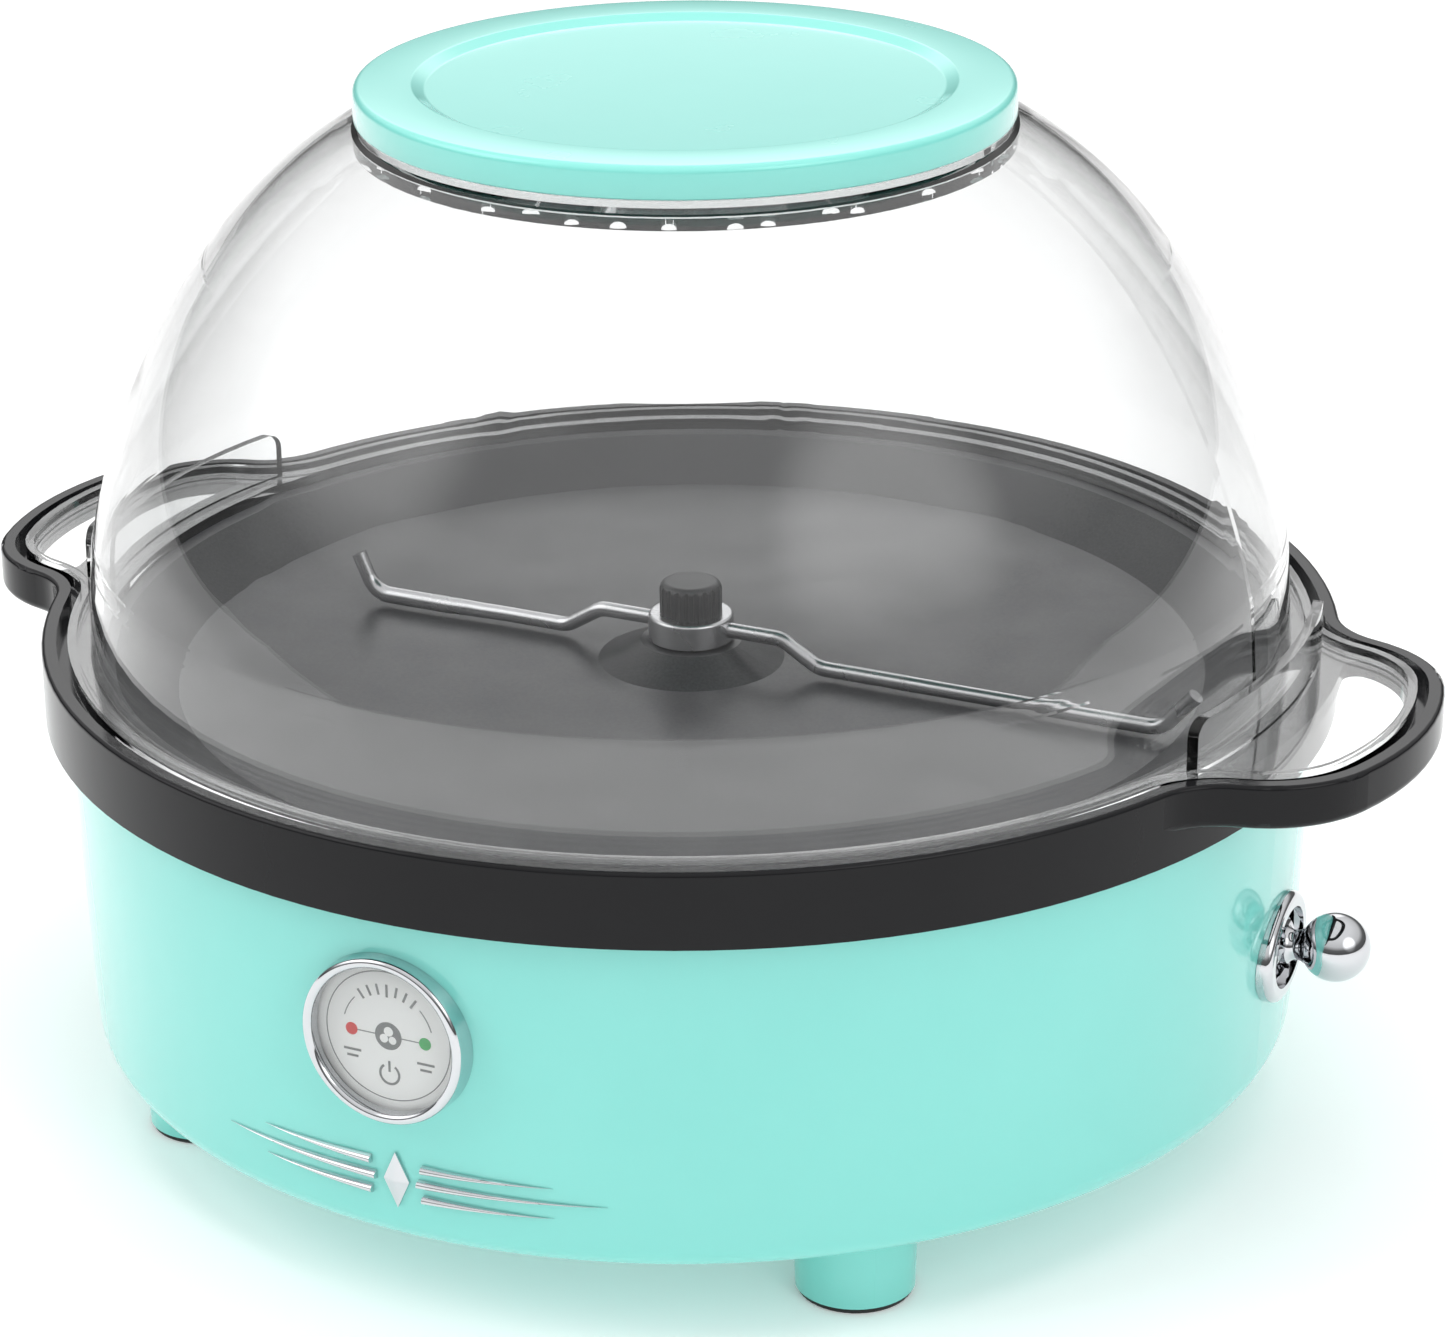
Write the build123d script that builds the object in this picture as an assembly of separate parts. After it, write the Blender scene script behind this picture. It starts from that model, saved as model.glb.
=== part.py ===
from build123d import *
import os
from math import acos, asin, atan2, cos, degrees, hypot, pi, radians, sin, sqrt, tan

# Stirring popcorn maker.  Millimetres, +Z up, the floor at z = 0, the vertical axis of the
# round body through the origin, the dial on the -Y side and the two handles on +X and -X.

# ---- feet and housing --------------------------------------------------------------
FOOT_INSET = 17.6              # centre of each foot, in from the cover's edge
FOOT_TOP_R = 15.2
FOOT_BOTTOM_R = 14.6
FOOT_COUNT = 4
FOOT_START = 43.1              # angle of the first foot
PAD_R = 14.0
PAD_SHOW = 1.6                 # rubber seen under each foot
PAD_PLUG_R = 11.7
PAD_PLUG_H = 2.4
UNDERSIDE_Z = 20.6
HOUSING_H = 97.9
HOUSING_TAPER = 3.4            # lost from the radius between the top and the foot of the side
HOUSING_EDGE_R = 6.5           # rounding where the side turns under
HOUSING_WALL = 2.5
COVER_T = 2.5
COVER_GAP = 0.4
COVER_INSET = 7.0              # cover edge, in from the lowest side radius
LEDGE_W = 9.0
VENT_SLOT = (26.0, 4.0)
VENT_SLOT_COUNT = 16
VENT_SLOT_INSET = 71.0         # middle of each slot, in from the cover's edge
FIT_GAP = 0.05                 # face to curved face inside one body
SEAT_GAP = 0.3                 # between bodies that only rest on each other

# ---- black ring with its two handles -----------------------------------------------
RING_R = 165.0
RING_RISE = 8.3                # ring's top above the housing's top edge
RING_DROP = 10.5               # ring's lower edge below it
HANDLE_DROP = 2.9              # handle's lower edge below it
WEB_T = 4.0                    # floor of the tray, resting on the housing's top edge
WEB_W = 13.0                   # from the housing's top edge in to the ring's hole
RIM_W = 3.8
SKIRT_T = 4.7
HANDLE_REACH = 30.8            # handle's tip beyond the ring
SKIRT_GAP = 0.3
TIP_ARC_R = 89.0
TIP_ARC_ANGLE = 19.3
CORNER_ARC_R = 33.0
ROOT_ARC_R = 20.0
RABBET_H = 2.0
RABBET_W = 5.6
RIM_FILLET = 1.1
HANDLE_FILLET = 2.2
GRIP_INSET = 9.6               # window through each handle, in from the outline
GRIP_SETBACK = 1.6             # and out from the ring
GRIP_CORNER_R = 4.0

# ---- clear dome --------------------------------------------------------------------
FLANGE_INSET = 6.6             # from the ring's outline to the flange's
FLANGE_T = 2.5
LIP_W = 2.2
LIP_H = 1.9
DOME_SETBACK = 12.0            # dome's foot, in from the ring
DOME_WALL = 2.6
WALL_LEAN = 3.8                # degrees
WALL_RISE = 25.5
BEND_R = 32.0
BEND_END = 12.0                # degrees of lean where the bend meets the flank
FLANK_R = 182.0
FLANK_END = 36.0
CROWN_R = 110.0
NECK_SETBACK = 72.0            # neck, in from the dome's foot
NECK_RISE = 1.6                # shoulder above the crown where it meets the neck
SPIGOT_STEP = 2.2
SPIGOT_WALL = 2.6
SPIGOT_H = 3.8
WELL_DEPTH = 5.4
WELL_FLOOR_T = 2.4
VENT_R = 2.4
VENT_COUNTS = (16, 8)
VENT_PITCH = 24.0              # between the rings of vents, and from the wall to the first
GUARD_T = 2.6
GUARD_SETBACK = 4.4            # in from the ring
GUARD_H = 13.0
GUARD_HALF_ANGLE = 16.3

# ---- cap ---------------------------------------------------------------------------
CAP_H = 8.0
CAP_WALL = 2.0
CAP_EDGE_R = 1.8
CAP_OVERHANG = 0.4             # beyond the neck
CAP_RIM_W = 14.4               # flat rim round the dish
CAP_DISH_DEPTH = 1.6

# ---- heating plate and what hangs under it -----------------------------------------
PLATE_T = 3.0
PLATE_SINK = 6.0               # plate's floor below the housing's top edge
PLATE_WALL_GAP = 0.4
PLATE_SLOPE_W = 12.0
PLATE_FLANGE_GAP = 0.3
PLATE_HUB_R = 13.0
PLATE_HUB_FOOT_R = 24.0
PLATE_HUB_RISE = 5.0
ELEMENT_W = 7.0
ELEMENT_SETBACK = 25.0         # in from the standoffs
ELEMENT_ARC = 320.0
TERMINAL_R = 2.4
TERMINAL_DROP = 9.0
CLIP_W = 14.0
CLIP_T = 1.2
CLIP_GAP = 0.6                 # each side, for the element's curve inside the clip
CLIP_ANGLES = (60.0, 180.0, 300.0)
SHIELD_T = 1.2
SHIELD_GAP = 17.5              # below the plate
SHIELD_OVERHANG = 4.4          # beyond the foot of the plate's slope
STANDOFF_SETBACK = 19.0        # in from the shield's rim
SHIELD_RIM = 10.0
SHIELD_HOLE_R = 12.0
STANDOFF_R = 4.0
THERMOSTAT_R = 9.0
THERMOSTAT_H = 8.0
THERMOSTAT_AT = (-48.0, 42.0)
FUSE_R = 2.6
FUSE_L = 22.0
FUSE_AT = (52.0, 40.0)

# ---- stirrer and its drive ---------------------------------------------------------
SHAFT_R = 3.0
SHAFT_TAIL = 1.5               # below the bracket
SHAFT_HEAD = 5.1               # above the hub
RUNNING_GAP = 0.05
BUSH_WALL = 1.6
BUSH_FLANGE_W = 3.4
BUSH_FLANGE_T = 1.5
HUB_R = 11.0
HUB_H = 6.6
HUB_LIFT = 0.8                 # hub above the plate's boss
SOCKET_DEPTH = 3.5
ROD_R = 2.0
ROD_FLOOR_GAP = 0.9
ROD_BEND_R = 7.0
ROD_END_GAP = 6.6              # from the end of the flat run to the plate's slope
ROD_TIP_RUN = 8.5
NUT_R = 8.0
NUT_H = 8.5
NUT_FLUTES = 20
GEAR_MODULE = 1.0
GEAR_TEETH = 72
PINION_TEETH = 18
GEAR_W = 6.0
GEAR_LIFT = 6.0                # above the bracket's lower face
GEAR_HUB_R = 8.0
GEAR_RIM_W = 5.0
GEAR_RECESS = 1.0              # each side, between the hub and the rim
BACKLASH = 0.22
PRESSURE_ANGLE = 20.0
MOTOR_R = 25.0
MOTOR_H = 17.0
MOTOR_EAR = 33.0
BRACKET_H = 32.0               # from its lower face to the shield
BRACKET_T = 2.0
BRACKET_HALF_W = 30.0
BRACKET_MARGIN = 12.0          # from the gear's tips to the bracket's end walls
BRACKET_FLANGE = 12.0

# ---- dial --------------------------------------------------------------------------
DIAL_DROP = 42.4               # dial's centre below the housing's top edge
BEZEL_RIM = 2.5                # width of the bezel's front
BEZEL_FLARE = 0.8
DIAL_SETBACK = 2.0             # bezel's front, in from the ring
BEZEL_IN_R = 18.5
BEZEL_LAND = 3.3               # depth of the bezel's bore in front of the lens
LENS_T = 1.3
LENS_LEDGE = 0.5               # lens beyond the bezel's bore
DIAL_HOLE_GAP = 0.6
FACE_T = 1.0
CUP_DEPTH = 12.0
CUP_WALL = 1.6

# ---- switch ------------------------------------------------------------------------
SWITCH_DROP = 61.3             # below the housing's top edge
SWITCH_ANGLE = 4.0             # degrees behind the right handle's centre line
ESCUTCHEON = (35.0, 27.0)
ESCUTCHEON_RECESS = (26.4, 19.6, 1.8)      # size and depth
ESCUTCHEON_EDGE_R = 2.0
ESCUTCHEON_PROUD = 3.0         # front, out from the housing's side
WINDOW = (20.6, 15.0)
WINDOW_CORNER = 4.0
COLLAR = (26.0, 19.0)
COLLAR_HOLE_GAP = 0.4
COLLAR_DEPTH = 2.0             # in from the housing's side
PIVOT_DEPTH = 4.9              # in from the housing's side
BARREL_R = 7.0
BARREL_HALF_W = 8.0
SWITCH_DEPTH = 26.0
SWITCH_WALL = 2.4
PIN_R = 1.5
LEVER_TILT = 6.0               # degrees up at rest
KNOB_R = 8.75
KNOB_REACH = 19.6
STEM_ROOT_R = 4.8
STEM_WAIST_R = 3.7
STEM_FLARE_R = 4.6
STUD_R = 2.2
STUD_L = 6.0

# ---- ornament, cord inlet and small fittings ---------------------------------------
ORNAMENT_DROP = 38.1           # below the dial's centre
ORNAMENT_HALF_L = 51.0
ORNAMENT_RAISE = 2.0
ORNAMENT_STAR = 7.5
BAR_H = 2.2
BAR_PITCH = 4.0
GLAND_BORE_R = 3.6
GLAND_RISE = 18.0              # above the underside
GLAND_BODY_R = 6.6
GLAND_FLANGE_R = 10.0
GLAND_FLANGE_T = 2.5
GLAND_L = 16.0
GLAND_NUT_T = 3.5
SCREW_R = 1.6
SCREW_HOLE_R = 1.85
SCREW_HEAD_R = 3.2
SCREW_HEAD_T = 2.2
BOSS_R = 5.2
RING_BOSS_INSET = 7.6          # in from the housing's top radius
RING_BOSS_H = 16.0
RING_SCREW_ANGLES = (20.0, 70.0, 110.0, 160.0, 200.0, 250.0, 290.0, 340.0)
COVER_SCREW_ANGLES = (0.0, 90.0, 180.0, 270.0)
COVER_SCREW_INSET = 5.8        # in from the cover's edge
BLOCK_SIZE = (34.0, 14.0, 13.0)
BLOCK_AT = (-38.0, 112.0)

# ---- worked-out values -------------------------------------------------------------
HOUSING_TOP_Z = UNDERSIDE_Z + HOUSING_H
HOUSING_TOP_R = RING_R - SKIRT_T - SKIRT_GAP
HOUSING_LOW_R = HOUSING_TOP_R - HOUSING_TAPER
RING_TOP_Z = HOUSING_TOP_Z + RING_RISE
RING_LOW_Z = HOUSING_TOP_Z - RING_DROP
HANDLE_LOW_Z = HOUSING_TOP_Z - HANDLE_DROP
HANDLE_TIP_R = RING_R + HANDLE_REACH
RING_HOLE_R = HOUSING_TOP_R - WEB_W
RABBET_R = RING_HOLE_R + RABBET_W
WEB_Z = HOUSING_TOP_Z
TRAY_Z = WEB_Z + WEB_T
FLANGE_Z = TRAY_Z + SEAT_GAP
FLANGE_TOP_Z = FLANGE_Z + FLANGE_T
COVER_R = HOUSING_LOW_R - COVER_INSET
FOOT_CIRCLE_R = COVER_R - FOOT_INSET
COVER_SCREW_CIRCLE_R = COVER_R - COVER_SCREW_INSET
RING_BOSS_CIRCLE_R = HOUSING_TOP_R - RING_BOSS_INSET
COVER_TOP_Z = UNDERSIDE_Z + COVER_T
DOME_FOOT_R = RING_R - DOME_SETBACK
NECK_R = DOME_FOOT_R - NECK_SETBACK
SPIGOT_OUT_R = NECK_R - SPIGOT_STEP
SPIGOT_IN_R = SPIGOT_OUT_R - SPIGOT_WALL
GUARD_R = RING_R - GUARD_SETBACK
CAP_R = NECK_R + CAP_OVERHANG
CAP_DISH_R = CAP_R - CAP_RIM_W
PLATE_FLOOR_Z = HOUSING_TOP_Z - PLATE_SINK
PLATE_LOW_Z = PLATE_FLOOR_Z - PLATE_T
PLATE_SLOPE_TOP_R = RING_HOLE_R - PLATE_WALL_GAP
PLATE_SLOPE_FOOT_R = PLATE_SLOPE_TOP_R - PLATE_SLOPE_W
SHIELD_Z = PLATE_LOW_Z - SHIELD_GAP
SHIELD_R = PLATE_SLOPE_FOOT_R + SHIELD_OVERHANG
STANDOFF_CIRCLE_R = SHIELD_R - STANDOFF_SETBACK
ELEMENT_R = STANDOFF_CIRCLE_R - ELEMENT_SETBACK
BRACKET_Z = SHIELD_Z - BRACKET_H
GEAR_LOW_Z = BRACKET_Z + GEAR_LIFT
SHAFT_LOW_Z = BRACKET_Z - SHAFT_TAIL
BUSH_R = SHAFT_R + BUSH_WALL
BUSH_FLANGE_R = BUSH_R + BUSH_FLANGE_W
ROD_REACH = PLATE_SLOPE_FOOT_R - ROD_END_GAP
ROD_TIP_R = ROD_REACH + ROD_TIP_RUN
PLATE_BOSS_Z = PLATE_FLOOR_Z + PLATE_HUB_RISE
GEAR_R = GEAR_MODULE * GEAR_TEETH / 2
PINION_R = GEAR_MODULE * PINION_TEETH / 2
PINION_X = GEAR_R + PINION_R
HUB_LOW_Z = PLATE_BOSS_Z + HUB_LIFT
HUB_TOP_Z = HUB_LOW_Z + HUB_H
SHAFT_TOP_Z = HUB_TOP_Z + SHAFT_HEAD
DIAL_Z = HOUSING_TOP_Z - DIAL_DROP
BEZEL_FRONT_R = BEZEL_IN_R + BEZEL_RIM
BEZEL_BASE_R = BEZEL_FRONT_R + BEZEL_FLARE
BEZEL_FRONT_Y = RING_R - DIAL_SETBACK
LENS_R = BEZEL_IN_R + LENS_LEDGE
DIAL_HOLE_R = LENS_R + DIAL_HOLE_GAP
SWITCH_Z = HOUSING_TOP_Z - SWITCH_DROP
ORNAMENT_Z = DIAL_Z - ORNAMENT_DROP
GLAND_Z = UNDERSIDE_Z + GLAND_RISE
OUTWARD = Location((0, 0, DIAL_Z), (90, 0, 0))      # local +Z becomes -Y at the dial


def disc(radius, low, high):
    return Pos(0, 0, (low + high) / 2) * Cylinder(radius, high - low)


def tube(inner, outer, low, high):
    return disc(outer, low, high) - disc(inner, low - 1, high + 1)


def block(x0, x1, y0, y1, z0, z1):
    middle = Pos((x0 + x1) / 2, (y0 + y1) / 2, (z0 + z1) / 2)
    return middle * Box(x1 - x0, y1 - y0, z1 - z0)


def turned(edges):
    """Solid of revolution about Z from an outline drawn as (radius, height)."""
    return revolve(Plane.XZ * make_face(edges), Axis.Z)


def turned_points(points):
    return turned(Polyline(*points, close=True))


def spaced(count, radius, start=0.0):
    """Places at equal angles on a circle."""
    for step in range(count):
        yield Rot(0, 0, start + 360.0 * step / count) * Pos(radius, 0, 0)


def at_angles(angles, radius):
    for angle in angles:
        yield Rot(0, 0, angle) * Pos(radius, 0, 0)


def group(solids):
    return Compound(children=[part for shape in solids for part in shape.solids()])


def save(shape, name):
    export_step(shape, "parts/" + name + ".step")


# ---- shapes that several pieces share ----------------------------------------------
def side_radius(z):
    """Outer radius of the housing's leaning side at a height."""
    low = UNDERSIDE_Z + HOUSING_EDGE_R
    return HOUSING_LOW_R + (HOUSING_TOP_R - HOUSING_LOW_R) * (z - low) / (HOUSING_TOP_Z - low)


SWITCH_SIDE_R = side_radius(SWITCH_Z)
ESCUTCHEON_FRONT_R = SWITCH_SIDE_R + ESCUTCHEON_PROUD
COLLAR_BACK_R = SWITCH_SIDE_R - COLLAR_DEPTH
PIVOT_R = SWITCH_SIDE_R - PIVOT_DEPTH


def housing_form(grow):
    """Full solid inside the housing's outer surface, grown outwards by an amount."""
    low = UNDERSIDE_Z - grow
    turn = UNDERSIDE_Z + HOUSING_EDGE_R
    centre = HOUSING_LOW_R - HOUSING_EDGE_R
    radius = HOUSING_EDGE_R + grow
    middle = (centre + radius * cos(radians(45)), turn - radius * sin(radians(45)))
    edges = Line((0, low), (centre, low))
    edges += ThreePointArc((centre, low), middle, (centre + radius, turn))
    edges += Line((centre + radius, turn), (HOUSING_TOP_R + grow, HOUSING_TOP_Z))
    edges += Line((HOUSING_TOP_R + grow, HOUSING_TOP_Z), (0, HOUSING_TOP_Z))
    edges += Line((0, HOUSING_TOP_Z), (0, low))
    return turned(edges)


def arc_about(centre, radius, start, end, flip):
    """Arc given by angles in degrees, mirrored by the signs in flip."""
    spots = []
    for angle in (start, (start + end) / 2, end):
        x = centre[0] + radius * cos(radians(angle))
        y = centre[1] + radius * sin(radians(angle))
        spots.append((x * flip[0], y * flip[1]))
    return ThreePointArc(*spots)


def ring_outline(inset):
    """Face bounded by the ring with its two handles, moved inwards by inset."""
    tip = (HANDLE_TIP_R - TIP_ARC_R, 0.0)
    reach = TIP_ARC_R - CORNER_ARC_R
    lean = radians(TIP_ARC_ANGLE)
    corner = (tip[0] + reach * cos(lean), reach * sin(lean))
    far = RING_R + ROOT_ARC_R
    near = CORNER_ARC_R + ROOT_ARC_R
    gap = hypot(*corner)
    along = (far ** 2 - near ** 2 + gap ** 2) / (2 * gap)
    root_angle = degrees(atan2(corner[1], corner[0]) + acos(along / far))
    root = (far * cos(radians(root_angle)), far * sin(radians(root_angle)))
    side_angle = degrees(atan2(root[1] - corner[1], root[0] - corner[0]))
    edges = []
    for flip in ((1, 1), (-1, 1), (-1, -1), (1, -1)):
        edges.append(arc_about(tip, TIP_ARC_R - inset, 0, TIP_ARC_ANGLE, flip))
        edges.append(arc_about(corner, CORNER_ARC_R - inset, TIP_ARC_ANGLE, side_angle, flip))
        edges.append(arc_about(root, ROOT_ARC_R + inset, side_angle - 180, root_angle - 180, flip))
        edges.append(arc_about((0, 0), RING_R - inset, root_angle, 90, flip))
    return make_face(edges)


def ring_prism(inset, low, high):
    return Pos(0, 0, low) * extrude(ring_outline(inset), high - low)


def screw(length, head_low=True):
    """Pan-head screw on Z: the head's seat at z = 0, the shank upwards."""
    head = turned(
        Polyline((0, 0), (SCREW_HEAD_R, 0), (SCREW_HEAD_R, -SCREW_HEAD_T * 0.45))
        + ThreePointArc(
            (SCREW_HEAD_R, -SCREW_HEAD_T * 0.45),
            (SCREW_HEAD_R * 0.66, -SCREW_HEAD_T * 0.86),
            (0, -SCREW_HEAD_T),
        )
        + Line((0, -SCREW_HEAD_T), (0, 0))
    )
    slot_long = block(-2.0, 2.0, -0.4, 0.4, -SCREW_HEAD_T - 1, -SCREW_HEAD_T + 1.1)
    body = head + disc(SCREW_R, 0, length) - slot_long - Rot(0, 0, 90) * slot_long
    return body if head_low else Rot(180, 0, 0) * body


# ---- housing, cover and feet -------------------------------------------------------
def base_housing():
    low_in = UNDERSIDE_Z + COVER_T
    turn = UNDERSIDE_Z + HOUSING_EDGE_R
    inner_r = HOUSING_LOW_R - HOUSING_WALL
    hollow = turned_points((
        (0, low_in + COVER_T),
        (inner_r - 4.0, low_in + COVER_T),
        (inner_r, turn + 2.0),
        (HOUSING_TOP_R - HOUSING_WALL, HOUSING_TOP_Z + 1),
        (0, HOUSING_TOP_Z + 1),
    ))
    shell = housing_form(0) - hollow
    shell -= disc(COVER_R + COVER_GAP, UNDERSIDE_Z - 1, low_in)
    shell -= disc(COVER_R - LEDGE_W, UNDERSIDE_Z - 1, low_in + COVER_T + 1)
    for place in at_angles(COVER_SCREW_ANGLES, COVER_SCREW_CIRCLE_R):
        shell += place * disc(BOSS_R, low_in + 0.5, low_in + 9)
        shell -= place * disc(SCREW_HOLE_R, low_in - 1, low_in + 7)
    for place in at_angles(RING_SCREW_ANGLES, RING_BOSS_CIRCLE_R):
        shell += place * disc(BOSS_R, HOUSING_TOP_Z - RING_BOSS_H, HOUSING_TOP_Z)
        shell -= place * disc(SCREW_HOLE_R, HOUSING_TOP_Z - RING_BOSS_H - 1, HOUSING_TOP_Z + 1)
    shell -= OUTWARD * disc(DIAL_HOLE_R, HOUSING_LOW_R - 20, RING_R)
    wide, tall = (size + 2 * COLLAR_HOLE_GAP for size in COLLAR)
    window = Plane.YZ * RectangleRounded(wide, tall, 4.0)
    window = extrude(window, 30)
    shell -= Rot(0, 0, SWITCH_ANGLE) * Pos(HOUSING_LOW_R - 16, 0, SWITCH_Z) * window
    shell -= at_gland(disc(GLAND_BODY_R + FIT_GAP, HOUSING_LOW_R - 16, RING_R))
    return shell


def bottom_cover():
    plate = disc(COVER_R, UNDERSIDE_Z, COVER_TOP_Z)
    slot = extrude(SlotOverall(*VENT_SLOT), COVER_T + 2)
    for place in spaced(VENT_SLOT_COUNT, COVER_R - VENT_SLOT_INSET):
        plate -= place * Pos(0, 0, UNDERSIDE_Z - 1) * slot
    for place in spaced(FOOT_COUNT, FOOT_CIRCLE_R, FOOT_START):
        plate -= place * disc(SCREW_HOLE_R, 0, 60)
    for place in at_angles(COVER_SCREW_ANGLES, COVER_SCREW_CIRCLE_R):
        plate -= place * disc(SCREW_HOLE_R, 0, 60)
        plate -= place * disc(SCREW_HEAD_R + 0.3, UNDERSIDE_Z - 1, UNDERSIDE_Z + 1.0)
    return plate


def foot():
    body = turned_points((
        (0, PAD_SHOW),
        (FOOT_BOTTOM_R, PAD_SHOW),
        (FOOT_TOP_R, UNDERSIDE_Z),
        (0, UNDERSIDE_Z),
    ))
    body -= disc(PAD_PLUG_R + 0.3, 0, PAD_SHOW + PAD_PLUG_H + 0.2)
    body -= disc(SCREW_HOLE_R, UNDERSIDE_Z - 13, UNDERSIDE_Z + 1)
    return body


def foot_pad():
    pad = disc(PAD_R, 0, PAD_SHOW) + disc(PAD_PLUG_R, 0, PAD_SHOW + PAD_PLUG_H)
    return fillet(pad.edges().group_by(Axis.Z)[0], 0.6)


# ---- ring and handles --------------------------------------------------------------
def grip_windows():
    """Outlines of the windows through the handles' floors, under the dome's tabs."""
    sharp = ring_outline(GRIP_INSET) - Circle(RING_R + GRIP_SETBACK)
    for window in sharp.faces():
        inner = offset(window, amount=-GRIP_CORNER_R, kind=Kind.ARC)
        yield offset(inner, amount=GRIP_CORNER_R, kind=Kind.ARC)


def handle_ring():
    body = ring_prism(0, HANDLE_LOW_Z, RING_TOP_Z)
    body = fillet(body.edges().group_by(Axis.Z)[-1], RIM_FILLET)
    body = fillet(body.edges().group_by(Axis.Z)[0], HANDLE_FILLET)
    skirt_in = HOUSING_TOP_R + SKIRT_GAP
    body -= ring_prism(RIM_W, TRAY_Z, RING_TOP_Z + 1)
    body -= ring_prism(RIM_W, HANDLE_LOW_Z - 1, WEB_Z)
    body += tube(skirt_in, RING_R, RING_LOW_Z, WEB_Z)
    body -= disc(skirt_in, RING_LOW_Z - 1, WEB_Z)
    body -= disc(RING_HOLE_R, RING_LOW_Z, RING_TOP_Z)
    body -= disc(RABBET_R, TRAY_Z - RABBET_H, RING_TOP_Z)
    for window in grip_windows():
        body -= Pos(0, 0, RING_LOW_Z) * extrude(window, RING_TOP_Z - RING_LOW_Z)
    for place in at_angles(RING_SCREW_ANGLES, RING_BOSS_CIRCLE_R):
        body -= place * disc(SCREW_HOLE_R, WEB_Z - 1, TRAY_Z - RABBET_H - 0.4)
    return body


# ---- dome and cap ------------------------------------------------------------------
def dome_path(inset):
    """End of each stretch of the dome's outline, as (radius, height, lean)."""
    lean = radians(WALL_LEAN)
    r = DOME_FOOT_R
    z = FLANGE_Z
    ends = [(r, z, lean)]
    r -= WALL_RISE * tan(lean)
    z += WALL_RISE
    ends.append((r, z, lean))
    for radius, end in ((BEND_R, BEND_END), (FLANK_R, FLANK_END), (CROWN_R, 90.0)):
        r += radius * (cos(radians(end)) - cos(lean))
        z += radius * (sin(radians(end)) - sin(lean))
        lean = radians(end)
        ends.append((r, z, lean))
    return [(a - inset * cos(t), b - inset * sin(t), t) for a, b, t in ends]


def dome_form(inset):
    """Full solid under the dome's outline."""
    ends = dome_path(inset)
    foot_r = ends[0][0] + (ends[0][1] - FLANGE_Z) * tan(ends[0][2])
    edges = Line((foot_r, FLANGE_Z), ends[1][:2])
    radii = (BEND_R, FLANK_R, CROWN_R)
    for radius, start, end in zip(radii, ends[1:], ends[2:]):
        lean = (start[2] + end[2]) / 2
        centre_r = start[0] - (radius - inset) * cos(start[2])
        centre_z = start[1] - (radius - inset) * sin(start[2])
        middle = (centre_r + (radius - inset) * cos(lean), centre_z + (radius - inset) * sin(lean))
        edges += ThreePointArc(start[:2], middle, end[:2])
    edges += Polyline(ends[-1][:2], (0, ends[-1][1]), (0, FLANGE_Z), (foot_r, FLANGE_Z))
    return turned(edges)


def crown_height(radius):
    """Height of the dome's outer surface where the crown passes a radius."""
    start = dome_path(0)[3]
    centre_r = start[0] - CROWN_R * cos(start[2])
    centre_z = start[1] - CROWN_R * sin(start[2])
    return centre_z + sqrt(CROWN_R ** 2 - (radius - centre_r) ** 2)


def guard(side):
    """Upright finger guard with rounded upper corners, across one handle's root."""
    wall = tube(GUARD_R - GUARD_T, GUARD_R, FLANGE_TOP_Z - 1, FLANGE_TOP_Z + GUARD_H)
    half = GUARD_R * sin(radians(GUARD_HALF_ANGLE))
    face = Plane.YZ * Pos(0, FLANGE_TOP_Z) * RectangleRounded(2 * half, 2 * GUARD_H, 4.5)
    keep = extrude(face, 2 * GUARD_R)
    return Rot(0, 0, side) * (wall & keep)


def dome_bowl():
    shell = dome_form(0) - dome_form(DOME_WALL)
    flange = ring_prism(FLANGE_INSET, FLANGE_Z, FLANGE_TOP_Z)
    lip = ring_prism(FLANGE_INSET, FLANGE_TOP_Z, FLANGE_TOP_Z + LIP_H)
    lip -= ring_prism(FLANGE_INSET + LIP_W, FLANGE_TOP_Z - 1, FLANGE_TOP_Z + LIP_H + 1)
    body = flange - disc(DOME_FOOT_R - DOME_WALL, FLANGE_Z - 1, FLANGE_TOP_Z + 1) + lip
    body += guard(0) + guard(180)
    shoulder = crown_height(NECK_R) + NECK_RISE
    floor_z = shoulder - WELL_DEPTH - WELL_FLOOR_T
    shell -= disc(NECK_R - SPIGOT_WALL / 2, floor_z, shoulder + 20)
    shell += tube(NECK_R - SPIGOT_WALL, NECK_R, floor_z, shoulder)
    shell += tube(SPIGOT_IN_R, NECK_R, shoulder - SPIGOT_WALL, shoulder)
    shell += tube(SPIGOT_IN_R, SPIGOT_OUT_R, shoulder - SPIGOT_WALL, shoulder + SPIGOT_H)
    well = disc(NECK_R, floor_z, floor_z + WELL_FLOOR_T)
    for ring, count in enumerate(VENT_COUNTS, 1):
        for place in spaced(count, SPIGOT_IN_R - ring * VENT_PITCH):
            well -= place * disc(VENT_R, floor_z - 1, floor_z + WELL_FLOOR_T + 1)
    return body + shell + well


def top_cap():
    low = crown_height(NECK_R) + NECK_RISE + SEAT_GAP
    top = low + CAP_H
    corner = CAP_R - CAP_EDGE_R
    turn = (corner + CAP_EDGE_R * cos(radians(45)), top - CAP_EDGE_R * (1 - sin(radians(45))))
    edges = Line((0, top), (corner, top))
    edges += ThreePointArc((corner, top), turn, (CAP_R, top - CAP_EDGE_R))
    edges += Polyline((CAP_R, top - CAP_EDGE_R), (CAP_R, low), (0, low), (0, top))
    cap = turned(edges) - disc(CAP_R - CAP_WALL, low - 1, top - CAP_WALL - CAP_DISH_DEPTH)
    cap -= Pos(0, 0, top - CAP_DISH_DEPTH) * Cone(
        CAP_DISH_R - 2 * CAP_DISH_DEPTH,
        CAP_DISH_R,
        CAP_DISH_DEPTH,
        align=(Align.CENTER, Align.CENTER, Align.MIN),
    )
    return cap


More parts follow.
